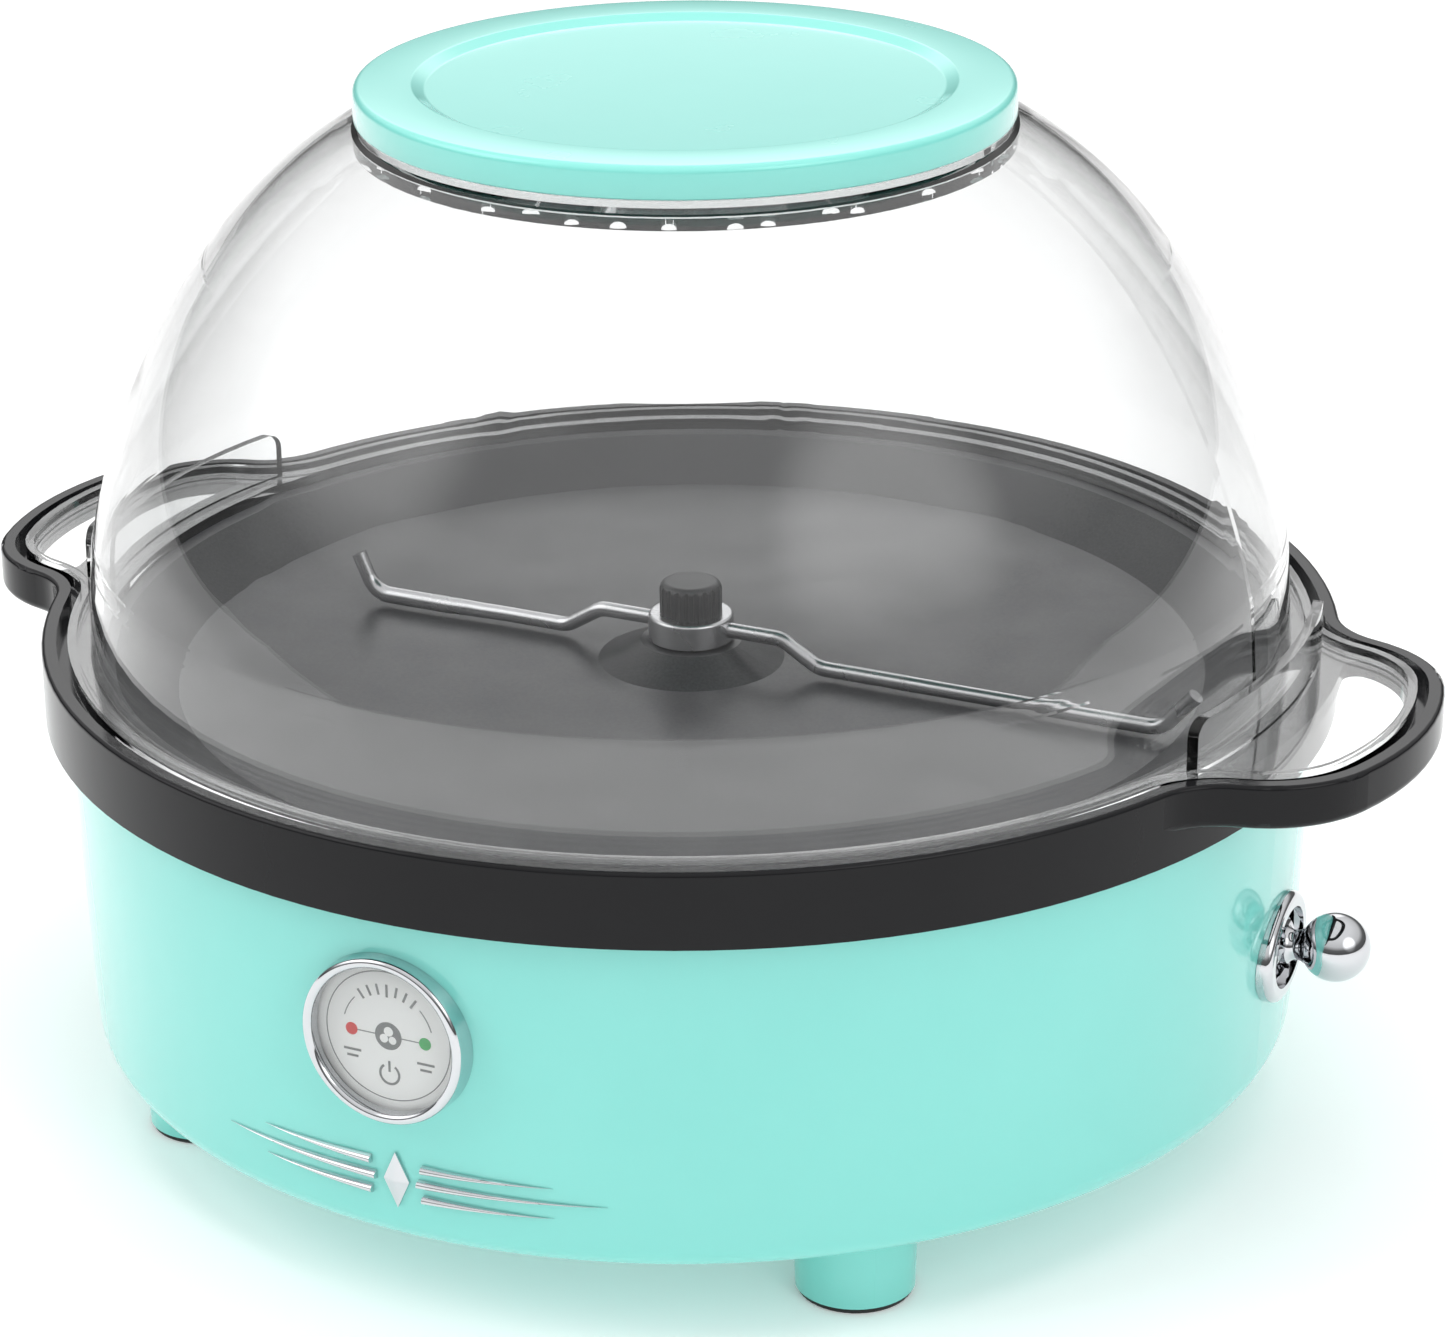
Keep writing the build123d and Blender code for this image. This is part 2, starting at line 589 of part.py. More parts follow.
# ---- heating plate and its fittings ------------------------------------------------
def heating_plate():
    seat_z = TRAY_Z - RABBET_H
    flange_r = RABBET_R - PLATE_FLANGE_GAP
    wall = PLATE_T * 1.1
    plate = turned_points((
        (BUSH_R, PLATE_LOW_Z),
        (PLATE_SLOPE_FOOT_R, PLATE_LOW_Z),
        (PLATE_SLOPE_TOP_R, seat_z),
        (flange_r, seat_z),
        (flange_r, TRAY_Z),
        (PLATE_SLOPE_TOP_R, TRAY_Z),
        (PLATE_SLOPE_FOOT_R - wall, PLATE_FLOOR_Z),
        (PLATE_HUB_FOOT_R, PLATE_FLOOR_Z),
        (PLATE_HUB_R, PLATE_BOSS_Z),
        (BUSH_R, PLATE_BOSS_Z),
    ))
    for place in spaced(4, STANDOFF_CIRCLE_R, 45):
        plate -= place * disc(SCREW_HOLE_R, PLATE_LOW_Z - 1, PLATE_LOW_Z + 1.8)
    return plate


def heating_element():
    half = ELEMENT_W / 2
    low = PLATE_LOW_Z - ELEMENT_W
    section = Pos(ELEMENT_R, PLATE_LOW_Z - half) * RectangleRounded(ELEMENT_W, ELEMENT_W, 2.0)
    loop = revolve(Plane.XZ * section, Axis.Z, ELEMENT_ARC)
    loop = Rot(0, 0, 90 + (360 - ELEMENT_ARC) / 2) * loop
    inside = asin(half / ELEMENT_R)
    for end in (-1, 1):
        angle = 90 + end * ((360 - ELEMENT_ARC) / 2 + degrees(inside))
        place = Rot(0, 0, angle) * Pos(ELEMENT_R, 0, 0)
        loop += place * disc(TERMINAL_R, low - TERMINAL_DROP, low + 1)
    return loop


def element_clip():
    low = PLATE_LOW_Z - ELEMENT_W
    half = ELEMENT_W / 2 + CLIP_GAP
    outer = block(-half - CLIP_T, half + CLIP_T, -CLIP_W / 2, CLIP_W / 2, low - CLIP_T, PLATE_LOW_Z)
    inner = block(-half, half, -CLIP_W, CLIP_W, low, PLATE_LOW_Z + 1)
    return outer - inner


def heat_shield():
    top = SHIELD_Z + SHIELD_T
    shield = tube(SHIELD_HOLE_R, SHIELD_R, SHIELD_Z, top)
    shield += tube(SHIELD_R - SHIELD_T, SHIELD_R, SHIELD_Z, SHIELD_Z + SHIELD_RIM)
    for place in spaced(4, STANDOFF_CIRCLE_R, 45):
        shield -= place * disc(SCREW_HOLE_R, SHIELD_Z - 1, top + 1)
    for place in bracket_screw_places():
        shield -= place * disc(SCREW_HOLE_R, SHIELD_Z - 1, top + 1)
    for end in (-1, 1):
        angle = 90 + end * ((360 - ELEMENT_ARC) / 2 + degrees(asin(ELEMENT_W / 2 / ELEMENT_R)))
        hole = Rot(0, 0, angle) * Pos(ELEMENT_R, 0, 0) * disc(TERMINAL_R + 2, SHIELD_Z - 1, top + 1)
        shield -= hole
    return shield


def plate_standoff():
    post = disc(STANDOFF_R, SHIELD_Z + SHIELD_T, PLATE_LOW_Z)
    post += disc(SCREW_R, PLATE_LOW_Z, PLATE_LOW_Z + 1.6)
    return post - disc(SCREW_HOLE_R, SHIELD_Z, SHIELD_Z + 11)


def thermostat():
    x, y = THERMOSTAT_AT
    low = PLATE_LOW_Z - THERMOSTAT_H
    body = disc(THERMOSTAT_R, low + 3, PLATE_LOW_Z) + disc(THERMOSTAT_R - 1.5, low, low + 3)
    for side in (-4, 4):
        body += block(side - 0.4, side + 0.4, -2.4, 2.4, low - 5, low + 1)
    return Pos(x, y, 0) * body


def thermal_fuse():
    x, y = FUSE_AT
    body = Rot(90, 0, 0) * Cylinder(FUSE_R, FUSE_L)
    for end in (-1, 1):
        body += Pos(0, end * FUSE_L / 2, 0) * Rot(90, 0, 0) * Cylinder(0.6, 12)
    return Pos(x, y, PLATE_LOW_Z - FUSE_R - SEAT_GAP) * body


# ---- drive -------------------------------------------------------------------------
def involute(angle):
    return tan(angle) - angle


def gear_outline(teeth):
    """Involute outline with its first tooth on +X."""
    pitch_r = GEAR_MODULE * teeth / 2
    base_r = pitch_r * cos(radians(PRESSURE_ANGLE))
    tip_r = pitch_r + GEAR_MODULE
    root_r = pitch_r - 1.25 * GEAR_MODULE
    half = pi / (2 * teeth) - BACKLASH / (2 * pitch_r) + involute(radians(PRESSURE_ANGLE))
    start_r = max(base_r, root_r)
    flank = [(root_r, half)] if root_r < base_r else []
    for step in range(4):
        radius = start_r + (tip_r - start_r) * step / 3
        flank.append((radius, half - involute(acos(base_r / radius))))
    points = []
    for tooth in range(teeth):
        middle = 2 * pi * tooth / teeth
        points += [(r * cos(middle - a), r * sin(middle - a)) for r, a in flank]
        points += [(r * cos(middle + a), r * sin(middle + a)) for r, a in reversed(flank)]
    return make_face(Polyline(*points, close=True))


def drive_gear():
    gear = Pos(0, 0, GEAR_LOW_Z) * extrude(gear_outline(GEAR_TEETH), GEAR_W)
    gear += disc(GEAR_HUB_R, GEAR_LOW_Z - 2.5, GEAR_LOW_Z + GEAR_W + 2)
    depth = GEAR_W - GEAR_RECESS
    for low in (GEAR_LOW_Z - depth, GEAR_LOW_Z + depth):
        gear -= tube(GEAR_HUB_R + 4, GEAR_R - GEAR_RIM_W, low, low + GEAR_W)
    return gear - disc(SHAFT_R + FIT_GAP, 0, 100)


def motor_pinion():
    pinion = Pos(0, 0, GEAR_LOW_Z - 1) * extrude(gear_outline(PINION_TEETH), GEAR_W + 2)
    pinion = Rot(0, 0, 180.0 / PINION_TEETH) * pinion
    pinion += disc(SHAFT_R, BRACKET_Z + 0.4, GEAR_LOW_Z)
    return Pos(PINION_X, 0, 0) * pinion


def bracket_ends():
    reach = BRACKET_MARGIN + GEAR_MODULE
    return -GEAR_R - reach, PINION_X + MOTOR_EAR + 8


def bracket_screw_places():
    left, right = bracket_ends()
    for x in (left - BRACKET_FLANGE / 2, right + BRACKET_FLANGE / 2):
        for side in (-1, 1):
            yield Pos(x, side * BRACKET_HALF_W * 0.55, 0)


def motor_ear_places():
    for side in (-1, 1):
        yield Pos(PINION_X + side * (MOTOR_EAR - 4), 0, 0)


def motor_bracket():
    left, right = bracket_ends()
    half = BRACKET_HALF_W
    low, top = BRACKET_Z, SHIELD_Z
    body = block(left, right, -half, half, low, low + BRACKET_T)
    for edge, way in ((left, -1), (right, 1)):
        wall = sorted((edge, edge - way * BRACKET_T))
        lip = sorted((edge - way * BRACKET_T, edge + way * BRACKET_FLANGE))
        body += block(wall[0], wall[1], -half, half, low, top)
        body += block(lip[0], lip[1], -half, half, top - BRACKET_T, top)
    body -= disc(BUSH_R + FIT_GAP, low - 1, low + BRACKET_T + 1)
    body -= Pos(PINION_X, 0, 0) * disc(SHAFT_R + 2, low - 1, low + BRACKET_T + 1)
    for place in motor_ear_places():
        body -= place * disc(SCREW_HOLE_R, low - 1, low + BRACKET_T + 1)
    for place in bracket_screw_places():
        body -= place * disc(SCREW_HOLE_R, top - BRACKET_T - 1, top + 1)
    return body


def gear_motor():
    top = BRACKET_Z
    can = disc(MOTOR_R, top - MOTOR_H, top - 1.6)
    can = fillet(can.edges().group_by(Axis.Z)[0], 2.0)
    ears = Pos(0, 0, top - 1.6) * extrude(SlotOverall(2 * MOTOR_EAR, 12), 1.6)
    body = Pos(PINION_X, 0, 0) * (can + ears)
    for place in motor_ear_places():
        body -= place * disc(SCREW_HOLE_R, top - 3, top + 1)
    return body - Pos(PINION_X, 0, 0) * disc(SHAFT_R + 0.6, top - 0.8, top + 1)


def shaft_bush(flange_z, flange_up, length):
    """Flanged bush whose flange lies at flange_z, with the sleeve going the other way."""
    bore = disc(SHAFT_R + RUNNING_GAP, 0, 200)
    if flange_up:
        sleeve = disc(BUSH_R - FIT_GAP, flange_z - length, flange_z)
        return sleeve + disc(BUSH_FLANGE_R, flange_z, flange_z + BUSH_FLANGE_T) - bore
    sleeve = disc(BUSH_R - FIT_GAP, flange_z, flange_z + length)
    return sleeve + disc(BUSH_FLANGE_R, flange_z - BUSH_FLANGE_T, flange_z) - bore


def drive_shaft():
    shaft = disc(SHAFT_R, SHAFT_LOW_Z, SHAFT_TOP_Z)
    return chamfer(shaft.edges().group_by(Axis.Z)[-1], 0.5)


def stir_hub():
    hub = disc(HUB_R, HUB_LOW_Z, HUB_TOP_Z)
    hub = fillet(hub.edges().group_by(Axis.Z)[-1], 1.0)
    hub -= disc(SHAFT_R + FIT_GAP, HUB_LOW_Z - 1, HUB_TOP_Z + 1)
    middle = HUB_LOW_Z + HUB_H / 2
    for side in (0, 180):
        socket = Pos(HUB_R - SOCKET_DEPTH / 2 + 0.5, 0, middle) * Rot(0, 90, 0)
        hub -= Rot(0, 0, side) * socket * Cylinder(ROD_R + FIT_GAP, SOCKET_DEPTH + 1)
    return hub


def rod_arm(reach, tip):
    """One arm of the wire: out of the hub, down to the plate and up its slope."""
    high = HUB_LOW_Z + HUB_H / 2
    low = PLATE_FLOOR_Z + ROD_FLOOR_GAP + ROD_R
    start = HUB_R - SOCKET_DEPTH + 0.3
    points = [
        (start, 0, high),
        (PLATE_HUB_FOOT_R + 2, 0, high),
        (PLATE_HUB_FOOT_R + 12, 0, low),
        (reach, 0, low),
        (tip, 0, low + 10),
    ]
    path = FilletPolyline(*points, radius=ROD_BEND_R)
    profile = Plane(origin=points[0], z_dir=(1, 0, 0)) * Circle(ROD_R)
    return sweep(profile, path=path)


def stirring_rod():
    long_arm = rod_arm(ROD_REACH, ROD_TIP_R)
    short_arm = Rot(0, 0, 180) * rod_arm(ROD_REACH - 34, ROD_TIP_R - 38)
    return group((long_arm, short_arm))


def stir_nut():
    nut = disc(NUT_R, HUB_TOP_Z, HUB_TOP_Z + NUT_H)
    nut = fillet(nut.edges().group_by(Axis.Z)[-1], 2.0)
    for place in spaced(NUT_FLUTES, NUT_R + 0.35):
        nut -= place * disc(0.8, HUB_TOP_Z - 1, HUB_TOP_Z + NUT_H + 1)
    return nut - disc(SHAFT_R + FIT_GAP, HUB_TOP_Z - 1, SHAFT_TOP_Z + 0.5)


# ---- dial --------------------------------------------------------------------------
def dial_bezel():
    step = BEZEL_FRONT_Y - BEZEL_LAND
    back = side_radius(DIAL_Z) - 8
    front = BEZEL_FRONT_Y
    middle_r = (BEZEL_FRONT_R + BEZEL_IN_R) / 2
    edges = Polyline((BEZEL_IN_R, step), (BEZEL_IN_R, front - 0.9))
    edges += ThreePointArc((BEZEL_IN_R, front - 0.9), (middle_r, front), (BEZEL_FRONT_R, front - 1.2))
    edges += Polyline(
        (BEZEL_FRONT_R, front - 1.2),
        (BEZEL_BASE_R, back),
        (LENS_R + 0.3, back),
        (LENS_R + 0.3, step),
        (BEZEL_IN_R, step),
    )
    return OUTWARD * turned(edges) - housing_form(FIT_GAP)


def dial_lens():
    back = BEZEL_FRONT_Y - BEZEL_LAND - LENS_T
    return OUTWARD * disc(LENS_R, back, back + LENS_T)


def dial_face():
    front = BEZEL_FRONT_Y - BEZEL_LAND - LENS_T
    return OUTWARD * disc(LENS_R, front - FACE_T, front)


def dial_cup():
    front = BEZEL_FRONT_Y - BEZEL_LAND - LENS_T - FACE_T
    cup = disc(LENS_R, front - CUP_DEPTH, front)
    cup -= disc(LENS_R - CUP_WALL, front - CUP_DEPTH + CUP_WALL, front + 1)
    return OUTWARD * cup


# ---- switch ------------------------------------------------------------------------
def at_switch(shape):
    """Pieces drawn pointing along +X from the axis go to the switch's place."""
    return Rot(0, 0, SWITCH_ANGLE) * Pos(0, 0, SWITCH_Z) * shape


def along_x(sketch, low, high):
    return Pos(low, 0, 0) * extrude(Plane.YZ * sketch, high - low)


def switch_bezel():
    front = ESCUTCHEON_FRONT_R
    plate = along_x(Ellipse(ESCUTCHEON[0] / 2, ESCUTCHEON[1] / 2), front - 9, front)
    plate = fillet(plate.edges().group_by(Axis.X)[-1], ESCUTCHEON_EDGE_R)
    plate = Rot(0, 0, -SWITCH_ANGLE) * Pos(0, 0, -SWITCH_Z) * (
        at_switch(plate) - housing_form(FIT_GAP))
    collar = along_x(RectangleRounded(COLLAR[0], COLLAR[1], 3.6), COLLAR_BACK_R, front - 2.6)
    opening = RectangleRounded(WINDOW[0], WINDOW[1], WINDOW_CORNER)
    window = along_x(opening, COLLAR_BACK_R - 1, front + 1)
    wide, tall, depth = ESCUTCHEON_RECESS
    recess = along_x(Ellipse(wide / 2, tall / 2), front - depth, front + 1)
    return at_switch(plate + collar - window - recess)


def switch_body():
    back = COLLAR_BACK_R - SWITCH_DEPTH
    body = along_x(RectangleRounded(COLLAR[0], COLLAR[1], 3.0), back, COLLAR_BACK_R)
    half_w = COLLAR[0] / 2 - SWITCH_WALL
    half_h = BARREL_R + 0.7
    cavity_back = PIVOT_R - BARREL_R - 1.0
    body -= block(cavity_back, COLLAR_BACK_R + 1, -half_w, half_w, -half_h, half_h)
    for y in (-8, 0, 8):
        body += block(back - 7, back + 1, y - 2.4, y + 2.4, -0.4, 0.4)
    body -= Pos(PIVOT_R, 0, 0) * Rot(90, 0, 0) * Cylinder(PIN_R + FIT_GAP, COLLAR[0] + 2)
    return at_switch(body)


def lever_pin():
    return at_switch(Pos(PIVOT_R, 0, 0) * Rot(90, 0, 0) * Cylinder(PIN_R, COLLAR[0] - 0.2))


def at_lever(shape):
    """Pieces drawn along local +Z from the pivot go to the lever at rest."""
    return at_switch(Pos(PIVOT_R, 0, 0) * Rot(0, 90 - LEVER_TILT, 0) * shape)


def switch_lever():
    neck = KNOB_REACH - KNOB_R
    stem = turned(
        Polyline((0, 2), (STEM_ROOT_R, 2), (STEM_ROOT_R, BARREL_R + 0.6))
        + ThreePointArc(
            (STEM_ROOT_R, BARREL_R + 0.6),
            (STEM_WAIST_R, (BARREL_R + neck) / 2 + 0.8),
            (STEM_FLARE_R, neck + 0.9),
        )
        + Polyline((STEM_FLARE_R, neck + 0.9), (0, neck + 0.9), (0, 2))
    )
    stem += disc(STUD_R, neck, neck + STUD_L)
    barrel = Rot(90, 0, 0) * Cylinder(BARREL_R, 2 * BARREL_HALF_W)
    barrel -= Rot(90, 0, 0) * Cylinder(PIN_R + RUNNING_GAP, 4 * BARREL_HALF_W)
    return at_lever(barrel + stem)


def lever_knob():
    neck = KNOB_REACH - KNOB_R
    ball = Pos(0, 0, KNOB_REACH) * Sphere(KNOB_R)
    ball -= disc(STEM_FLARE_R + 2, neck - 2, neck + 0.9 + FIT_GAP)
    ball -= disc(STUD_R + FIT_GAP, neck, neck + STUD_L + 0.3)
    return at_lever(ball)


# ---- ornament and cord inlet -------------------------------------------------------
def ornament():
    """Winged star: a diamond with three tapering bars on each side, hugging the housing."""
    star = Pos(0, ORNAMENT_Z) * Polygon(
        (0, ORNAMENT_STAR), (3.4, 0), (0, -ORNAMENT_STAR), (-3.4, 0), align=None)
    shapes = [star]
    for row in (-1, 0, 1):
        start = 5.6 + 1.2 * abs(row)
        length = ORNAMENT_HALF_L * (1.0 - 0.24 * abs(row)) - start
        z = ORNAMENT_Z + row * BAR_PITCH
        for side in (-1, 1):
            bar = Polygon(
                (side * start, z + BAR_H / 2),
                (side * (start + length), z),
                (side * start, z - BAR_H / 2),
                align=None,
            )
            shapes.append(bar)
    skin = housing_form(ORNAMENT_RAISE) - housing_form(FIT_GAP)
    pieces = []
    for shape in shapes:
        cutter = extrude(Plane.XZ * shape, 2 * RING_R, dir=(0, -1, 0))
        pieces.append(skin & cutter)
    return group(pieces)


def cord_gland():
    flange_y = side_radius(GLAND_Z) + FIT_GAP
    body = disc(GLAND_BODY_R, flange_y + GLAND_FLANGE_T - GLAND_L, flange_y + GLAND_FLANGE_T)
    flange = disc(GLAND_FLANGE_R, flange_y - 6, flange_y + GLAND_FLANGE_T)
    flange = fillet(flange.edges().group_by(Axis.Z)[-1], 1.0)
    body = at_gland(body) + (at_gland(flange) - housing_form(FIT_GAP))
    return body - at_gland(disc(GLAND_BORE_R, 0, 2 * RING_R))


def at_gland(shape):
    return Pos(0, 0, GLAND_Z) * Rot(-90, 0, 0) * shape


def gland_nut():
    back = side_radius(GLAND_Z) - HOUSING_WALL - 1.4
    nut = Pos(0, 0, back - GLAND_NUT_T) * extrude(RegularPolygon(GLAND_FLANGE_R, 6), GLAND_NUT_T)
    return at_gland(nut - disc(GLAND_BODY_R + FIT_GAP, 0, 2 * RING_R))


def terminal_block():
    x, y = BLOCK_AT
    wide, deep, tall = BLOCK_SIZE
    body = block(-wide / 2, wide / 2, -deep / 2, deep / 2, COVER_TOP_Z, COVER_TOP_Z + tall)
    for cell in (-1, 0, 1):
        hole = Pos(cell * 10.5, 0, COVER_TOP_Z + tall * 0.45) * Rot(90, 0, 0)
        body -= hole * Cylinder(2.2, deep + 2)
        body -= Pos(cell * 10.5, 0, 0) * disc(2.6, COVER_TOP_Z + tall - 3, COVER_TOP_Z + tall + 1)
    return Pos(x, y, 0) * body


# ---- write every piece -------------------------------------------------------------
def main():
    os.makedirs("parts", exist_ok=True)
    save(base_housing(), "base_housing")
    save(bottom_cover(), "bottom_cover")
    feet = [place * foot() for place in spaced(FOOT_COUNT, FOOT_CIRCLE_R, FOOT_START)]
    save(group(feet), "feet")
    pads = [place * foot_pad() for place in spaced(FOOT_COUNT, FOOT_CIRCLE_R, FOOT_START)]
    save(group(pads), "foot_pads")
    foot_screw = Pos(0, 0, COVER_TOP_Z) * screw(14, head_low=False)
    save(group(p * foot_screw for p in spaced(FOOT_COUNT, FOOT_CIRCLE_R, FOOT_START)), "foot_screws")
    cover_screw = Pos(0, 0, UNDERSIDE_Z + 1.0) * screw(8)
    save(group(p * cover_screw for p in at_angles(COVER_SCREW_ANGLES, COVER_SCREW_CIRCLE_R)),
         "cover_screws")
    save(handle_ring(), "handle_ring")
    ring_screw = Pos(0, 0, HOUSING_TOP_Z - RING_BOSS_H) * screw(RING_BOSS_H + 1.4)
    save(group(p * ring_screw for p in at_angles(RING_SCREW_ANGLES, RING_BOSS_CIRCLE_R)),
         "ring_screws")
    save(dome_bowl(), "dome_bowl")
    save(top_cap(), "top_cap")
    save(heating_plate(), "heating_plate")
    save(heating_element(), "heating_element")
    save(group(p * element_clip() for p in at_angles(CLIP_ANGLES, ELEMENT_R)), "element_clips")
    save(heat_shield(), "heat_shield")
    save(group(p * plate_standoff() for p in spaced(4, STANDOFF_CIRCLE_R, 45)),
         "plate_standoffs")
    shield_screw = Pos(0, 0, SHIELD_Z) * screw(9)
    save(group(p * shield_screw for p in spaced(4, STANDOFF_CIRCLE_R, 45)), "shield_screws")
    save(thermostat(), "thermostat")
    save(thermal_fuse(), "thermal_fuse")
    save(shaft_bush(PLATE_LOW_Z, False, PLATE_BOSS_Z - PLATE_LOW_Z - 0.5), "plate_bush")
    save(shaft_bush(BRACKET_Z + BRACKET_T, True, BRACKET_T), "lower_bush")
    save(drive_shaft(), "drive_shaft")
    save(drive_gear(), "drive_gear")
    save(motor_pinion(), "motor_pinion")
    save(gear_motor(), "gear_motor")
    save(motor_bracket(), "motor_bracket")
    motor_screw = Pos(0, 0, BRACKET_Z - 1.6) * screw(6)
    save(group(p * motor_screw for p in motor_ear_places()), "motor_screws")
    bracket_screw = Pos(0, 0, SHIELD_Z - BRACKET_T) * screw(6)
    save(group(p * bracket_screw for p in bracket_screw_places()), "bracket_screws")
    save(stir_hub(), "stir_hub")
    save(stirring_rod(), "stirring_rod")
    save(stir_nut(), "stir_nut")
    save(dial_bezel(), "dial_bezel")
    save(dial_lens(), "dial_lens")
    save(dial_face(), "dial_face")
    save(dial_cup(), "dial_cup")
    save(switch_bezel(), "switch_bezel")
    save(switch_body(), "switch_body")
    save(lever_pin(), "lever_pin")
    save(switch_lever(), "switch_lever")
    save(lever_knob(), "lever_knob")
    save(ornament(), "ornament")
    save(cord_gland(), "cord_gland")
    save(gland_nut(), "gland_nut")
    save(terminal_block(), "terminal_block")


main()
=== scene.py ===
import math

import bmesh
import bpy
from mathutils import Matrix, Vector


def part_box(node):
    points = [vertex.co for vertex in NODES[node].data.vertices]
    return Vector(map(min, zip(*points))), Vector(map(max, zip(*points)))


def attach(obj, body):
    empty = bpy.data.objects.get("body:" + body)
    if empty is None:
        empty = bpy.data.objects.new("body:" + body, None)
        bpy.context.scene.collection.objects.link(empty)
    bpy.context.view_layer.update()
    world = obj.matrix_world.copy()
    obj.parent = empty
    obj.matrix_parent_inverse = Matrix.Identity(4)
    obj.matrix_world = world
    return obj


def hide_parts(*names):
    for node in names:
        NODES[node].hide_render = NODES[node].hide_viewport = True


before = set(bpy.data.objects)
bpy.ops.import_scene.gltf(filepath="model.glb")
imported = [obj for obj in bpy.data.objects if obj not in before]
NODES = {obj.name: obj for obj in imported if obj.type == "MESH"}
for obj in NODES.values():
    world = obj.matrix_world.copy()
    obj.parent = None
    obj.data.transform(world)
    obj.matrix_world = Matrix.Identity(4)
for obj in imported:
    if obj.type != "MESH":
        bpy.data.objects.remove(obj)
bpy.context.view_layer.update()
MM = 0.001

# ---- camera, in the photograph's place -----------------------------------------------
IMAGE_W = 1445
SENSOR_W = 36.0
FOCAL_PX = 4400.0
CAMERA_REACH = 1.1348          # metres, from the middle at the height below
CAMERA_AIM_Z = 0.108
CAMERA_RISE = 22.13            # degrees, as are the four below
CAMERA_TURN = 26.5             # from the front towards the right handle
CAMERA_YAW = 0.434
CAMERA_PITCH = 22.083
CAMERA_ROLL = -0.465
CAMERA_CLIP = (0.05, 60.0)

# ---- studio ----------------------------------------------------------------------------
FLOOR_HALF = 12.0
FLOOR_GREY = 0.93
FLOOR_GREY_RANGE = 0.01
FLOOR_GLOW = 0.22              # lit from below, as a light table is
WHITE = (1.0, 1.0, 1.0, 1.0)
AMBIENT = 0.57                 # sky seen by diffuse rays
SKY_BASE = 1.0                 # sky seen by glossy rays, times the greys below
SKY_GREYS = ((0.0, 0.10), (0.22, 0.16), (0.42, 0.75), (0.80, 1.0))  # (height, grey)
SKY_LOBES = (                  # (direction, cosine at its rim, cosine at its core, power)
    ((-0.75, -0.45, 0.55), 0.86, 0.97, 1.6),
    ((0.95, -0.35, 0.50), 0.90, 0.98, 1.8),
    ((-0.41, 0.83, 0.375), 0.93, 0.985, 1.5),
)
SOFTBOX_AIM = Vector((0.0, 0.0, 0.12))
SOFTBOXES = (                  # (name, place, size, watts)
    ("softbox_left", (-1.5, -1.1, 1.5), (1.0, 1.4), 13.0),
    ("softbox_right", (1.5, -1.0, 1.1), (0.5, 1.6), 8.0),
    ("softbox_top", (0.1, 0.2, 2.2), (2.4, 2.4), 31.0),
)


# ---- finishes ------------------------------------------------------------------------
ROUGH_SCALE = 45.0             # patches of uneven gloss a metre
GRAIN_DEPTH = 0.00004
NOISE_SPREAD = (0.2, 0.8)      # part of the noise's range that is used
CLEAR_IOR = 1.49
CLEAR_HAZE = 0.035
CLEAR_HAZE_SPREAD = (0.45, 0.75)
CLEAR_WAVE_DEPTH = 0.0004
INK_SHADE = 0.86               # the darker end of an ink's colour


def node(tree, kind, **values):
    made = tree.nodes.new(kind)
    for key, value in values.items():
        setattr(made, key, value)
    return made


def noise(tree, scale, detail):
    """Grey noise over the piece, in its own coordinates: scale is in features a metre."""
    place = node(tree, "ShaderNodeTexCoord")
    texture = node(tree, "ShaderNodeTexNoise")
    texture.inputs["Scale"].default_value = scale
    texture.inputs["Detail"].default_value = detail
    tree.links.new(place.outputs["Object"], texture.inputs["Vector"])
    return texture.outputs["Fac"]


def remap(tree, source, low, high, spread=NOISE_SPREAD):
    made = node(tree, "ShaderNodeMapRange")
    made.inputs["From Min"].default_value = spread[0]
    made.inputs["From Max"].default_value = spread[1]
    made.inputs["To Min"].default_value = low
    made.inputs["To Max"].default_value = high
    tree.links.new(source, made.inputs["Value"])
    return made.outputs["Result"]


def blend_colors(tree, source, first, second):
    made = node(tree, "ShaderNodeMix", data_type="RGBA")
    made.inputs["A"].default_value = (*first, 1.0)
    made.inputs["B"].default_value = (*second, 1.0)
    tree.links.new(source, made.inputs["Factor"])
    return made.outputs["Result"]


def bump(tree, source, strength, distance):
    made = node(tree, "ShaderNodeBump")
    made.inputs["Strength"].default_value = strength
    made.inputs["Distance"].default_value = distance
    tree.links.new(source, made.inputs["Height"])
    return made.outputs["Normal"]


def new_material(name):
    material = bpy.data.materials.new(name)
    material.use_nodes = True
    tree = material.node_tree
    return material, tree, tree.nodes["Principled BSDF"]


def finish_of(name, colors, rough, cloud=18.0, grain=900.0, grain_strength=0.15, **fixed):
    """Procedural finish: clouded colour, uneven gloss and a fine grain."""
    material, tree, shader = new_material(name)
    for key, value in fixed.items():
        shader.inputs[key.replace("_", " ")].default_value = value
    mottle = remap(tree, noise(tree, cloud, 3.0), 0.0, 1.0)
    tree.links.new(blend_colors(tree, mottle, *colors), shader.inputs["Base Color"])
    uneven = remap(tree, noise(tree, ROUGH_SCALE, 4.0), *rough)
    tree.links.new(uneven, shader.inputs["Roughness"])
    normal = bump(tree, noise(tree, grain, 2.0), grain_strength, GRAIN_DEPTH)
    tree.links.new(normal, shader.inputs["Normal"])
    return material


